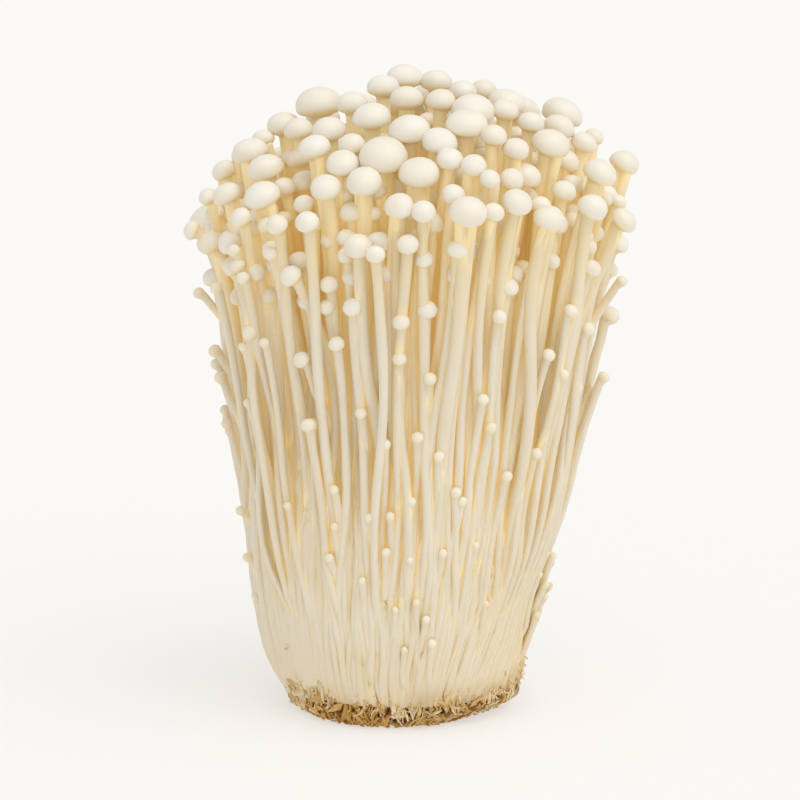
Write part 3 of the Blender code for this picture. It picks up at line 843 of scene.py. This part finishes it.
def add_mushroom(skins, mushroom, number):
    """Skins one mushroom: a stem that narrows downward and a domed cap on its neck. It starts
    low down, or inside the core if it stands under the crown."""
    draw = random.Random(f"mushroom {number}")
    big = mushroom.width > SMALL_CAP
    sides = 20 if mushroom.width > BROAD_CAP else 16 if big else 12
    if mushroom.kind in ("filler", "core filler", "hidden stem"):
        sides = 10
    own = draw.random()
    turn = draw.uniform(0, pi)
    axis = mushroom.axis()
    profile, dome = cap_profile(mushroom.width, mushroom.stem_radius)
    capless = mushroom.kind == "hidden stem"
    if capless:
        radius = mushroom.stem_radius
        profile, dome = [(height * radius, wide * radius) for height, wide in STEM_TIP], 0.0
    seat = mushroom.cap - axis * (CAP_SEAT * mushroom.width)
    neck = seat + axis * profile[0][0]
    middle = stem_path(mushroom, draw)
    root, count = min(STEM_ROOT, 0.4 * mushroom.cap.z), 20 if big else 14
    if mushroom.kind == "core filler":
        root = part_way(CORE_FILLER_ROOTS, eased(mushroom.share, *CORE_FILLER_OUTER_SHARES))
        count = 7
    heights = [root + (neck.z - root) * step / count for step in range(count)]
    centres = [middle(height) for height in heights] + [neck]
    rings, shares = [], []
    for i, height in enumerate(heights):
        way = (centres[i + 1] - centres[i]).normalized()
        wobble = 1 + 0.06 * sin(height * 0.21 + 6 * own)
        radius = mushroom.stem_radius_at(height) * wobble
        rings.append(ring_round(centres[i], way, radius, sides, turn))
        shares.append(0.0)
    oval = 1 + draw.uniform(-0.05, 0.05)
    whiteness = PIN_WHITENESS + (1 - PIN_WHITENESS) * eased(mushroom.width, 2.0, 6.0)
    aside = any_aside(draw) * (CAP_SHIFT * mushroom.width)
    glows = [0.0] * len(rings)
    for height, radius in profile:
        raised = max(0.0, height) / max(dome, 0.1)
        rings.append(ring_round(seat + axis * height + aside * raised, axis, radius, sides, turn, oval))
        white = 0.0 if capless else eased(height / mushroom.width, -0.26, 0.0)
        shares.append(whiteness * white)
        # A painted glow under the cap's rim
        glows.append(UNDER_GLOW * 4 * white * (1 - white))
    tip = seat + axis * dome + aside * (dome > 0)
    skins.add(rings, centres[0] - Vector((0, 0, 0.3)), tip, own, shares, glows=glows)


def level_share(levels, height):
    return float(np.interp(height, *zip(*levels)))


def seam_height(x, y):
    """The gently waved face where the butt sits on the crust."""
    out, angle = around(x, y, 0)
    wave = SEAM_WAVE * sin(SEAM_WAVES * angle + SEAM_TURN)
    wave += SEAM_RISE_RIGHT * cos(angle)
    return SEAM_HEIGHT + wave * min(1.0, out) ** 2


def seam_between(position, count, label):
    """How near a place round the butt is to the seam between two straps, from 0 in the
    middle of a strap to 1 on the seam, and the chance value of that strap."""
    cell = int(position)
    nearest, owner, below = 1.0, 0, -inf
    for index in range(cell - 1, cell + 3):
        shift = random.Random(f"{label} {index % count}").uniform(-0.5, 0.5) * STRAP_JITTER
        edge = index + shift
        nearest = min(nearest, abs(position - edge))
        if below < edge <= position:
            below, owner = edge, index % count
    return 1 - eased(nearest, 0.0, SEAM_HALF_WIDTH), random.Random(f"{label} own {owner}").random()


@cache
def seam_table(count, label):
    """The seams round the butt, worked out once for every place that is looked up."""
    places = count * SEAM_FINENESS
    return [seam_between(place / SEAM_FINENESS, count, label) for place in range(places)]


def seam_at(angle, count, label):
    table = seam_table(count, label)
    return table[int(angle / TURN * count * SEAM_FINENESS) % len(table)]


def butt_relief(angle, height):
    """How far a point of the butt is pushed in, in millimetres, and how much painted shade it gets as a
    crease, from 0 to 1. Straps of fused stems lie side by side, with fine lines on them."""
    place = round_axis(angle, 2.2, height * 0.03)
    warp = 0.045 * noise.noise(place * 1.3) + 0.016 * noise.noise(place * 4.0)
    seam, owner = seam_at(angle + warp, STRAPS, "strap")
    line, _ = seam_at(angle + 1.6 * warp + 0.004 * noise.noise(place * 9), LINES, "line")
    fused = eased(noise.noise(place * 1.6 + Vector((3, 7, 1))), -0.1, 0.35)
    fused = max(fused, smooth_patch(angle, height))
    apart = (0.6 + 0.4 * eased(height, 14, 40)) * (1 - 0.8 * fused * (1 - eased(height, 30, 48)))
    pushed = seam * SEAM_DEPTH * apart + (owner - 0.5) * 0.45 * apart
    pushed += line * LINE_DEPTH * (1 - 0.6 * fused)
    return pushed, min(1.0, 0.80 * seam * apart + 0.30 * line * (1 - 0.5 * fused))


def add_butt(skins):
    """The fused lower mass, with a strap for each stem that has grown into it."""
    rings, creases = [], []
    top = BUTT_LEVELS[-1][0]
    for level in range(BUTT_RINGS):
        height = part_way((BUTT_LEVELS[0][0], top), (level / (BUTT_RINGS - 1)) ** 1.3)
        share = level_share(BUTT_LEVELS, height)
        ring = []
        for i in range(BUTT_SIDES):
            angle = TURN * i / BUTT_SIDES
            pushed, crease = butt_relief(angle, height)
            point = at_flank(share - pushed / flank_half_width(height), angle, height)
            if level == 0:
                point.z = seam_height(point.x, point.y) - 0.2
            ring.append(point)
            # Painted shade over the ribbed lower butt, away from the smooth patch
            ribbed = RIB_CREASE * (1 - smooth_patch(angle, height)) * (1 - eased(height, 30, 46))
            creases.append(max(crease * 0.8, ribbed))
        rings.append(ring)
    foot = Vector((middle_x(0), 0, SEAM_HEIGHT))
    tip = Vector((middle_x(top), 0, top + BUTT_TIP))
    skins.add(rings, foot, tip, 0.5, creases=creases + [0.0, 0.0])


def fanned(angle, height):
    """Ribs on the right of the front fan out as they rise."""
    return FAN_TURN * (height - RIB_ROOT) * bell(angle, FAN_ANGLE, FAN_SPREAD)


def add_rib(skins, number):
    """One stem that has grown into the butt, and stands half out of it low down."""
    draw = random.Random(f"rib {number}")
    start = TURN * (number + draw.uniform(-0.35, 0.35)) / RIBS
    tall = draw.random()
    radius = draw.uniform(*RIB_RADII) + RIB_THICKER * tall
    top = part_way(RIB_TOPS, tall)
    drift = draw.gauss(0, 0.0010)
    phase = draw.uniform(0, TURN)
    rings = []
    for step in range(RIB_STEPS + 1):
        height = RIB_ROOT + (top - RIB_ROOT) * step / RIB_STEPS
        angle = start + drift * (height - RIB_ROOT) + fanned(start, height)
        angle += RIB_WANDER * sin(0.21 * height + phase)
        sunk = 1.3 * eased(height, top - RIB_ENDS, top) + 1.5 * smooth_patch(angle, height)
        share = level_share(BUTT_LEVELS, height) - sunk * radius / flank_half_width(height)
        wide = radius * (1 + 0.12 * sin(0.5 * height + 2 * phase))
        rings.append(ring_round(at_flank(share, angle, height), Vector((0, 0, 1)), wide, 8))
    own = draw.random()
    low, high = (ring[0].lerp(ring[4], 0.5) for ring in (rings[0], rings[-1]))
    skins.add(rings, low, high, own)


def add_scabs(skins):
    """Small crisp scabs on the stains, rooted in the flesh."""
    for place_number, (place, spread, strength) in enumerate(STAIN_PLACES):
        draw = random.Random(f"scab {place_number}")
        for _ in range(SCABS_EACH):
            height = max(8.0, place.z + draw.gauss(0, 0.8 * spread))
            _, angle = around(*place)
            angle += draw.gauss(0, 0.6 * spread) / flank_half_width(height)
            share = level_share(BUTT_LEVELS, height) + 0.01 + 0.03 * eased(height, 24, 40)
            outward = round_axis(angle, 1, draw.uniform(-0.3, 0.3)).normalized()
            middle = at_flank(share, angle, height)
            radius = draw.uniform(*SCAB_RADII) * (0.6 + 0.6 * strength)
            rings = []
            for out, wide in ((-0.8, 0.5), (-0.2, 0.9), (0.15, 0.8), (0.3, 0.45)):
                uneven = draw.uniform(0.8, 1.2)
                rings.append(ring_round(middle + outward * out, outward, radius * wide * uneven, 6))
            skins.add(rings, middle - outward * 0.9, middle + outward * 0.36, 0.5)


# The crust of growing medium

def add_crust_slab(skins):
    """The slab of crumbly medium under the butt, flat underneath."""
    rings = []
    for level, share in CRUST_LEVELS:
        ring = []
        for i in range(CRUST_SIDES):
            angle = TURN * i / CRUST_SIDES
            place = round_axis(angle, 9, level * 3)
            rough = noise.noise(place) * 0.030 + noise.noise(place * 3.1) * 0.018
            ragged = rough if 0 < level < 1 else rough * 0.4 - 0.01
            point = at_flank(share + ragged, angle, 0)
            height = level * seam_height(point.x, point.y)
            point = at_flank((share + ragged) * tucked_in(angle, height), angle, 0)
            point.z = height
            ring.append(point)
        rings.append(ring)
    foot = Vector((middle_x(0), 0, 0))
    skins.add(rings, foot, Vector((middle_x(0), 0, SEAM_HEIGHT)), 0.0)


def flat_ring(middle, side, other, wide, thick, points=8, cup=0.0):
    """A flat ring whose edges are bent to one side by the cup."""
    turns = [TURN * i / points for i in range(points)]
    return [
        middle
        + side * (wide * cos(turn))
        + other * (thick * sin(turn) + cup * cos(turn) ** 2)
        for turn in turns
    ]


def tucked_in(angle, height):
    """The share of the crust's width that is left low on the right, where its rim curls up,
    and at its left end, which is tucked in under the butt."""
    curled = bell(angle, CURLED_ANGLE, CURLED_SPREAD)
    left = max(0.0, -cos(angle)) ** 2 * (1 - eased(height, *LEFT_TUCK_HEIGHTS))
    return 1 - CURLED_SHARE * curled * (1 - eased(height, *CURLED_HEIGHTS)) - LEFT_TUCK_SHARE * left


def rim_point(angle, height, off):
    """A place on the crust's rim, standing off it by so many millimetres."""
    at_rim = at_flank(0.93, angle, 0)
    share = level_share(CRUST_BULGE, height / seam_height(at_rim.x, at_rim.y))
    share *= tucked_in(angle, height)
    place = at_flank(share + off / FOOT_HALF_WIDTH, angle, 0)
    place.z = height
    return place


def round_noise(angle, scale, lift=0.0):
    """Noise that runs smoothly round the bunch, from about -0.6 to 0.6."""
    return noise.noise(round_axis(angle, scale, lift))


def root_thread_share(angle):
    """How much the pale root threads reach down over the crust at an angle, from 0 to 1."""
    front = bell(angle, THREADS_ANGLE, THREADS_SPREAD)
    return max(front, 0.8 * eased(round_noise(angle, 3.1, 5.0), 0.12, 0.4))


def crust_top(angle):
    """The ragged upper edge of the crust."""
    at_rim = at_flank(0.93, angle, 0)
    share = CRUST_TOP[0] + CRUST_TOP[1] * round_noise(angle, 3.5)
    share -= CRUST_LOWER_LEFT * max(0.0, -cos(angle)) ** 3
    return min(CRUST_HIGHEST, share * seam_height(at_rim.x, at_rim.y))


def paleness(draw, angle, rise):
    """A scrap's tone: paler high up, at both ends, the right end most, and among the root threads."""
    ends = 0.90 * max(0.0, cos(angle)) ** 2 + 0.55 * max(0.0, -cos(angle)) ** 2
    tone = 0.24 + 0.40 * rise + 0.42 * root_thread_share(angle) + ends
    return min(1.0, max(0.02, tone + draw.gauss(0, 0.15)))


def add_lifted(skins, rings, own):
    """Adds a loose scrap, lifted where it would reach through the ground."""
    lowest = min(point.z for ring in rings for point in ring)
    lift = Vector((0, 0, max(0.0, FLOOR_CLEARANCE - lowest)))
    rings = [[point + lift for point in ring] for ring in rings]
    ends = [sum(ring, Vector()) / len(ring) for ring in (rings[0], rings[-1])]
    skins.add(rings, *ends, own)


def skin_along(skins, places, wides, thick, own, twist, points=8, cup=0.0):
    """Skins a flat scrap along a run of places, its flat side facing outward."""
    rings = []
    for i, place in enumerate(places):
        before, after = places[max(0, i - 1)], places[min(len(places) - 1, i + 1)]
        way = (after - before).normalized()
        outward = Vector((place.x - middle_x(0), place.y, 0)).normalized()
        side = Quaternion(way, twist * (0.5 + i / len(places))) @ way.cross(outward).normalized()
        other = way.cross(side).normalized()
        rings.append(flat_ring(place, side, other, wides[i], thick, points, cup * wides[i]))
    add_lifted(skins, rings, own)


def along_rim(angle, steps, along):
    """The places and half widths of a scrap on the crust's rim. The function along gives, at
    a share of its length, how far over, how high, how far off the rim and how wide it is."""
    places, wides = [], []
    for step in range(steps + 1):
        over, height, off, wide = along(step / steps)
        places.append(rim_point(angle + over / FOOT_HALF_WIDTH, height, off))
        wides.append(wide)
    return places, wides


def add_flake(skins, draw):
    """One curled and pointed flake of growing medium on the crust's rim."""
    angle = draw.uniform(0, TURN)
    rise = draw.random()
    height = crust_top(angle) * rise * (1 + 0.35 * root_thread_share(angle))
    heading = draw.gauss(-pi / 2, 0.75) if draw.random() < 0.6 else draw.uniform(0, pi)
    length = draw.uniform(*FLAKE_LENGTHS)
    half = draw.uniform(*FLAKE_HALF_WIDTHS)
    off = draw.uniform(-1.1, 0.8)
    curl = draw.uniform(-0.9, 3.6) * (1.2 - 0.5 * rise)
    bow = draw.uniform(-1.6, 1.6)
    tip = draw.uniform(0.0, 0.16)

    def along(t):
        run = (t - 0.4) * length
        lift = curl * max(0.0, t - 0.25) ** 2 + 0.25 * (1 - t)
        aside = bow * (t - 0.4) ** 2 * length * 0.5
        over = run * cos(heading) - aside * sin(heading)
        climb = run * sin(heading) * 0.85 + aside * cos(heading)
        body = sin(pi * (0.10 + 0.86 * t)) ** 1.2
        wide = max(0.05, half * body * draw.uniform(0.75, 1.15) * (1 - tip * t))
        return over, max(0.15, height + climb), off + lift, wide

    run = along_rim(angle, 6, along)
    thick = draw.uniform(*FLAKE_HALF_THICKNESSES)
    own = paleness(draw, angle, rise)
    skin_along(skins, *run, thick, own, draw.uniform(-1.7, 1.7), 8, draw.uniform(-0.9, 0.6))


def add_crumb(skins, draw):
    """One small uneven lump of growing medium."""
    angle = draw.uniform(0, TURN)
    rise = draw.uniform(0.0, 0.95)
    point = rim_point(angle, crust_top(angle) * rise, draw.uniform(-1.4, 0.1))
    outward = round_axis(angle)
    along = Vector((-sin(angle), cos(angle), 0))
    size = draw.uniform(*CRUMB_RADII)
    up = Vector((0, 0, 1)) + outward * draw.uniform(-1, 1) + along * draw.uniform(-1, 1)
    up.normalize()
    side = up.cross(along).normalized()
    other = up.cross(side)
    rings = []
    for turn in (-62, -30, 4, 36, 66):
        middle = point + up * (size * sin(radians(turn)))
        wide = size * cos(radians(turn)) * draw.uniform(0.75, 1.15)
        rings.append(flat_ring(middle, side, other, wide, wide * draw.uniform(0.7, 1.1), 7))
    add_lifted(skins, rings, draw.uniform(0.0, 0.35))


def add_coil(skins, draw):
    """One thin fibre that runs in an arc round the crust's rim."""
    angle = draw.uniform(0, TURN)
    height = crust_top(angle) * draw.uniform(0.05, 0.9)
    reach = draw.uniform(*COIL_REACHES)
    start = draw.uniform(0, TURN)
    span = draw.uniform(1.2, 3.4)
    off = draw.uniform(-0.6, 0.5)
    wide = draw.uniform(*COIL_HALF_WIDTHS)

    def along(t):
        turn = start + span * t
        over = reach * (cos(turn) - cos(start))
        here = max(0.15, height + 0.45 * reach * (sin(turn) - sin(start)))
        waved = off + 0.4 * sin(3 * t + start)
        return over, min(here, CRUST_HIGHEST), waved, wide * (0.5 + 0.5 * sin(pi * t))

    run = along_rim(angle, 8, along)
    skin_along(skins, *run, wide * 0.7, paleness(draw, angle, 0.35), 0.6, 6)


def add_strand(skins, draw):
    """One pale root thread that runs from the butt's foot down over the crust."""
    angle = draw.uniform(0, TURN)
    while draw.random() > 0.30 + root_thread_share(angle):
        angle = draw.uniform(0, TURN)
    threads = root_thread_share(angle)
    top = crust_top(angle) + draw.uniform(-0.8, 4.0) + 2.5 * threads * draw.random()
    length = draw.uniform(*STRAND_LENGTHS) + 3.4 * threads * draw.random()
    drift = draw.uniform(-0.35, 0.35)
    wave = draw.uniform(0.05, 0.35)
    phase = draw.uniform(0, TURN)
    flare = draw.uniform(0.1, 1.3)
    wide = draw.uniform(*STRAND_HALF_WIDTHS)

    def along(t):
        over = drift * t * length + wave * sin(6 * t + phase)
        off = 0.1 + flare * t**2 + 0.2 * sin(5 * t + phase)
        body = wide * (0.55 + 0.6 * sin(pi * min(1, 0.1 + 0.8 * t)))
        return over, max(0.3, top - t * length), off, body

    run = along_rim(angle, 7, along)
    own = 0.60 + 0.32 * threads + draw.uniform(-0.15, 0.2)
    skin_along(skins, *run, wide * 0.45, own, draw.uniform(-0.7, 0.7), 6, draw.uniform(-0.5, 0.3))


def add_splinter(skins, draw):
    """One stiff pointed flake that stands out and down from the crust's lower rim."""
    angle = draw.uniform(0, TURN)
    height = draw.uniform(*SPLINTER_HEIGHTS)
    length = draw.uniform(*SPLINTER_LENGTHS)
    over = draw.uniform(-1.2, 1.2)
    fall = draw.uniform(0.3, 1.0)
    half = draw.uniform(*SPLINTER_HALF_WIDTHS)

    def along(t):
        off = -0.7 + length * 0.7 * t
        wide = max(0.04, half * (1 - 0.9 * t**2))
        return over * t * length, max(0.2, height - fall * t * length), off, wide

    run = along_rim(angle, 4, along)
    own = paleness(draw, angle, 0.3)
    skin_along(skins, *run, 0.12, own, draw.uniform(-0.8, 0.8), 6, draw.uniform(-0.6, 0.6))


# Materials

IVORY = (0.825, 0.738, 0.575, 1)
PALE_IVORY = (0.850, 0.788, 0.665, 1)
CAP_WHITE = (0.920, 0.885, 0.805, 1)
CAP_CREAM = (0.900, 0.845, 0.725, 1)
# Golden painted shade on the caps' undersides
UNDER_CAP_PAINTED_SHADE = (0.930, 0.800, 0.520, 1)
# Gold and amber painted shade in creases and inside the bunch
PAINTED_SHADE_GOLD = (0.900, 0.745, 0.460, 1)
PAINTED_SHADE_AMBER = (0.890, 0.680, 0.310, 1)
STRAW = (0.830, 0.660, 0.390, 1)
# Golden painted shade on the stems under the crown's caps
HEAD_PAINTED_SHADE = (0.890, 0.745, 0.450, 1)
TAN = (0.560, 0.340, 0.110, 1)
SPECK = (0.420, 0.220, 0.060, 1)
CRUST_DARK = (0.260, 0.110, 0.016, 1)
CRUST_BROWN = (0.580, 0.330, 0.085, 1)
CRUST_STRAW = (0.710, 0.455, 0.155, 1)
CRUST_PALE = (0.890, 0.740, 0.490, 1)
# Dark painted shade for the crust's hollows
CRUST_PAINTED_SHADE = (0.260, 0.105, 0.012, 1)
CRUST_FRINGE = (0.840, 0.680, 0.410, 1)
CRUST_SPOT = (0.300, 0.150, 0.035, 1)
UNLIT = (0.0, 0.0, 0.0, 1)
# Painted glow in the flesh and in the crust's hollows
FLESH_PAINTED_GLOW = (1.0, 0.81, 0.36, 1)
FLESH_PAINTED_GLOW_STRENGTH = 0.15
CRUST_PAINTED_GLOW = (1.0, 0.50, 0.10, 1)
CRUST_PAINTED_GLOW_STRENGTH = 0.09
FLOOR_GREY = (0.38, 0.375, 0.362, 1)
FLOOR_LIGHT = (1.0, 0.985, 0.955, 1)
FLOOR_LIGHT_STRENGTH = 0.575
FLOOR_HALF_WIDTH = 12000.0
SKY = (1.0, 0.995, 0.98, 1)
SKY_STRENGTH = 0.645
KEY_STRENGTH = 1.30
KEY_SOFTNESS = 60.0
KEY_DIRECTION = (-0.36, 0.45, -1.0)


def feed(tree, fed, inputs):
    """Gives inputs of a node their values, each a value or another node's output."""
    for name, value in inputs.items():
        if isinstance(value, bpy.types.NodeSocket):
            tree.links.new(value, fed.inputs[name])
        else:
            fed.inputs[name].default_value = value


def node(tree, kind, inputs, **settings):
    made = tree.nodes.new(kind)
    for name, value in settings.items():
        setattr(made, name, value)
    feed(tree, made, inputs)
    return made


def new_material(name):
    material = bpy.data.materials.new(name)
    material.use_nodes = True
    return material, material.node_tree, material.node_tree.nodes["Principled BSDF"]


def attribute_value(tree, name):
    return node(tree, "ShaderNodeAttribute", {}, attribute_name=name).outputs["Fac"]


def object_place(tree):
    return node(tree, "ShaderNodeTexCoord", {}).outputs["Object"]


def height_value(tree):
    """The height above the ground, in metres."""
    return node(tree, "ShaderNodeSeparateXYZ", {"Vector": object_place(tree)}).outputs["Z"]


def noise_value(tree, scale, stretch=(1, 1, 1), detail=3, roughness=0.5):
    """Noise in the object's own space, from 0 to 1, stretched along its axes."""
    mapping = node(tree, "ShaderNodeMapping", {"Scale": stretch, "Vector": object_place(tree)})
    inputs = {"Vector": mapping.outputs["Vector"], "Scale": scale, "Detail": detail}
    return node(tree, "ShaderNodeTexNoise", inputs | {"Roughness": roughness}).outputs["Fac"]


def ranged(tree, value, low, high, most=1.0):
    """0 at low, rising smoothly to the most at high."""
    inputs = {"Value": value, "From Min": low, "From Max": high, "To Max": most}
    made = node(tree, "ShaderNodeMapRange", inputs, interpolation_type="SMOOTHSTEP")
    return made.outputs["Result"]


def times(tree, first, second):
    inputs = {0: first, 1: second}
    return node(tree, "ShaderNodeMath", inputs, operation="MULTIPLY").outputs["Value"]


def layered(tree, colour, layers):
    """Lays colours over a first one, each by its own share."""
    for share, over in layers:
        inputs = {0: share, 6: colour, 7: over}
        colour = node(tree, "ShaderNodeMix", inputs, data_type="RGBA").outputs[2]
    return colour


def bump(tree, value, strength, distance):
    inputs = {"Height": value, "Strength": strength, "Distance": distance}
    return node(tree, "ShaderNodeBump", inputs).outputs["Normal"]


def flesh_material():
    """Moist ivory flesh: fibrous stems, satin caps, golden painted shade under the caps, in the head,
    in creases and inside the bunch, and a painted glow there.
    """
    material, tree, shader = new_material("enoki_flesh")
    fibres = noise_value(tree, 1000, (1, 1, 0.035), 4, 0.6)
    broad = noise_value(tree, 55, (1, 1, 0.35), 2)
    ragged = noise_value(tree, 900, (1, 1, 0.5), 3, 0.6)
    mottle = ranged(tree, noise_value(tree, 260), 0.3, 0.75)
    height = height_value(tree)
    cap_share = attribute_value(tree, "cap_share")
    deep = attribute_value(tree, "painted_shade")
    stain = attribute_value(tree, "stain")
    # How much painted glow the flesh gets
    lit = ranged(tree, attribute_value(tree, "painted_glow"), 0.0, 1.0)
    low = times(tree, ranged(tree, height, 0.026, 0.007), ranged(tree, fibres, 0.35, 0.62))
    rooty = times(tree, ranged(tree, height, 0.0125, 0.0065), ranged(tree, broad, 0.36, 0.6))
    specks = times(tree, ranged(tree, stain, 0.3, 1.0), ranged(tree, ragged, 0.3, 0.6))
    layers = [
        (ranged(tree, fibres, 0.3, 0.7), PALE_IVORY),
        (ranged(tree, broad, 0.50, 0.72, 0.28), STRAW),
        (times(tree, low, 0.5), STRAW),
        (times(tree, rooty, 0.5), TAN),
        # Golden painted shade on the stems in the head, under the crown's caps
        (ranged(tree, height, 0.088, 0.116, 0.72), HEAD_PAINTED_SHADE),
        # Golden painted shade on the caps' undersides
        (ranged(tree, cap_share, 0.02, 0.35), UNDER_CAP_PAINTED_SHADE),
        (ranged(tree, cap_share, 0.30, 0.95), layered(tree, CAP_WHITE, [(mottle, CAP_CREAM)])),
        (times(tree, attribute_value(tree, "own_chance"), 0.20), STRAW),
        # Gold and amber painted shade where the flesh is hemmed in, in creases and deep inside
        (ranged(tree, deep, 0.0, 0.55), PAINTED_SHADE_GOLD),
        (ranged(tree, deep, 0.45, 1.0), PAINTED_SHADE_AMBER),
        (ranged(tree, stain, 0.05, 0.6, 0.75), STRAW),
        (specks, SPECK),
    ]
    feed(tree, shader, {
        "Base Color": layered(tree, IVORY, layers),
        "Roughness": 0.42,
        "Specular IOR Level": 0.35,
        # A painted glow where the flesh is hemmed in, deep inside and under the caps' rims
        "Emission Color": layered(tree, UNLIT, [(lit, FLESH_PAINTED_GLOW)]),
        "Emission Strength": FLESH_PAINTED_GLOW_STRENGTH,
        "Normal": bump(tree, fibres, 0.25, 0.0002),
    })
    return material


def crust_material():
    """Crumbly growing medium, from dark brown to pale straw threads, with dark painted shade and a
    faint orange painted glow in its hollows.
    """
    material, tree, shader = new_material("growing_medium")
    grain = noise_value(tree, 900, (1, 1, 1), 5, 0.65)
    own = attribute_value(tree, "own_chance")
    # Dark painted shade in the crust's hollows, where it is hemmed in
    hollow_shade = ranged(tree, attribute_value(tree, "painted_shade"), 0.30, 1.0, 0.60)
    layers = [
        (ranged(tree, own, 0.0, 0.35), CRUST_BROWN),
        (ranged(tree, own, 0.3, 0.8), CRUST_STRAW),
        (ranged(tree, own, 0.70, 0.98), CRUST_PALE),
        (hollow_shade, CRUST_PAINTED_SHADE),
        (ranged(tree, height_value(tree), 0.0050, 0.0095, 0.85), CRUST_FRINGE),
        (ranged(tree, grain, 0.50, 0.72, 0.22), CRUST_SPOT),
        (ranged(tree, noise_value(tree, 220), 0.4, 0.7, 0.2), TAN),
    ]
    feed(tree, shader, {
        "Base Color": layered(tree, CRUST_DARK, layers),
        "Roughness": 0.9,
        "Specular IOR Level": 0.2,
        # A faint painted glow in the crust's hollows
        "Emission Color": layered(tree, UNLIT, [(hollow_shade, CRUST_PAINTED_GLOW)]),
        "Emission Strength": CRUST_PAINTED_GLOW_STRENGTH,
        "Normal": bump(tree, grain, 0.6, 0.0004),
    })
    return material


# Assembling

def ready(piece, slot, *nodes):
    """Ties a finished piece to the object's one body, and hides the solid that it stands for."""
    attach(piece, "root")
    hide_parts(*nodes)


def make_pieces(pieces, slot, material, node_name):
    """Makes each piece from functions that each add skins to it."""
    gathered = []
    for name, adders in pieces.items():
        skins = Skins()
        for add in adders:
            add(skins)
        ready(skins.make(name, material), slot, node_name)
        gathered.append(skins)
    return gathered


def many(add_one, kind, count):
    """Adders of many like things, each with random draws of its own."""
    return [partial(add_one, draw=random.Random(f"{kind} {number}")) for number in range(count)]


def flesh_pieces():
    pieces = {
        "crown_mushrooms": ("crown",),
        "flank_mushrooms": ("flank", "pin"),
        "inner_mushrooms": ("filler",),
        "core_mushrooms": ("core filler",),
        "hidden_stems": ("hidden stem",),
        "fine_pins": ("fine pin",),
    }
    mushrooms = list(enumerate(all_mushrooms()))
    for name, kinds in pieces.items():
        pieces[name] = [
            partial(add_mushroom, mushroom=one, number=number)
            for number, one in mushrooms
            if one.kind in kinds
        ]
    pieces["fluted_butt"] = [add_butt]
    pieces["butt_ribs"] = [partial(add_rib, number=number) for number in range(RIBS)]
    pieces["stain_scabs"] = [add_scabs]
    return pieces


def crust_pieces():
    flakes = many(add_flake, "flake", FLAKES) + many(add_splinter, "splinter", SPLINTERS)
    threads = many(add_strand, "strand", STRANDS) + many(add_coil, "coil", COILS)
    slab = [add_crust_slab] + many(add_crumb, "crumb", CRUMBS)
    return {"crust_slab": slab, "crust_flakes": flakes, "crust_threads": threads}


def make_floor():
    far = FLOOR_HALF_WIDTH * MM
    mesh = bpy.data.meshes.new("floor")
    corners = [(-far, -far, 0), (far, -far, 0), (far, far, 0), (-far, far, 0)]
    mesh.from_pydata(corners, [], [(0, 1, 2, 3)])
    material, tree, shader = new_material("floor")
    feed(tree, shader, {
        "Base Color": FLOOR_GREY,
        "Roughness": 0.8,
        "Specular IOR Level": 0.1,
        "Emission Color": FLOOR_LIGHT,
        "Emission Strength": FLOOR_LIGHT_STRENGTH,
    })
    mesh.materials.append(material)
    floor = new_object("floor", mesh)


def light_scene():
    world = bpy.data.worlds.new("studio")
    world.use_nodes = True
    background = world.node_tree.nodes["Background"]
    feed(world.node_tree, background, {"Color": SKY, "Strength": SKY_STRENGTH})
    bpy.context.scene.world = world
    light = bpy.data.lights.new("key", "SUN")
    light.energy = KEY_STRENGTH
    light.angle = radians(KEY_SOFTNESS)
    sun = new_object("key", light)
    sun.rotation_euler = Vector(KEY_DIRECTION).to_track_quat("-Z", "Y").to_euler()
    bpy.context.scene.view_settings.view_transform = "Standard"


def make_camera():
    data = bpy.data.cameras.new("camera")
    data.sensor_width = SENSOR_WIDTH
    data.lens = SENSOR_WIDTH * EYE_DISTANCE / VIEW_WIDTH
    data.clip_start = 0.01
    camera = new_object("camera", data)
    eye, _ = eye_and_up()
    aim = Vector((EYE_AIM_X, 0, EYE_HEIGHT_AIM))
    camera.location = eye * MM
    camera.rotation_euler = (aim - eye).to_track_quat("-Z", "Y").to_euler()
    bpy.context.scene.camera = camera


def main():
    gathered = make_pieces(flesh_pieces(), "mushroom_flesh", flesh_material(), "mushroom_cluster")
    gathered += make_pieces(crust_pieces(), "growing_medium", crust_material(), "substrate_crust")
    keep_closeness(gathered)
    make_floor()
    light_scene()
    make_camera()


main()
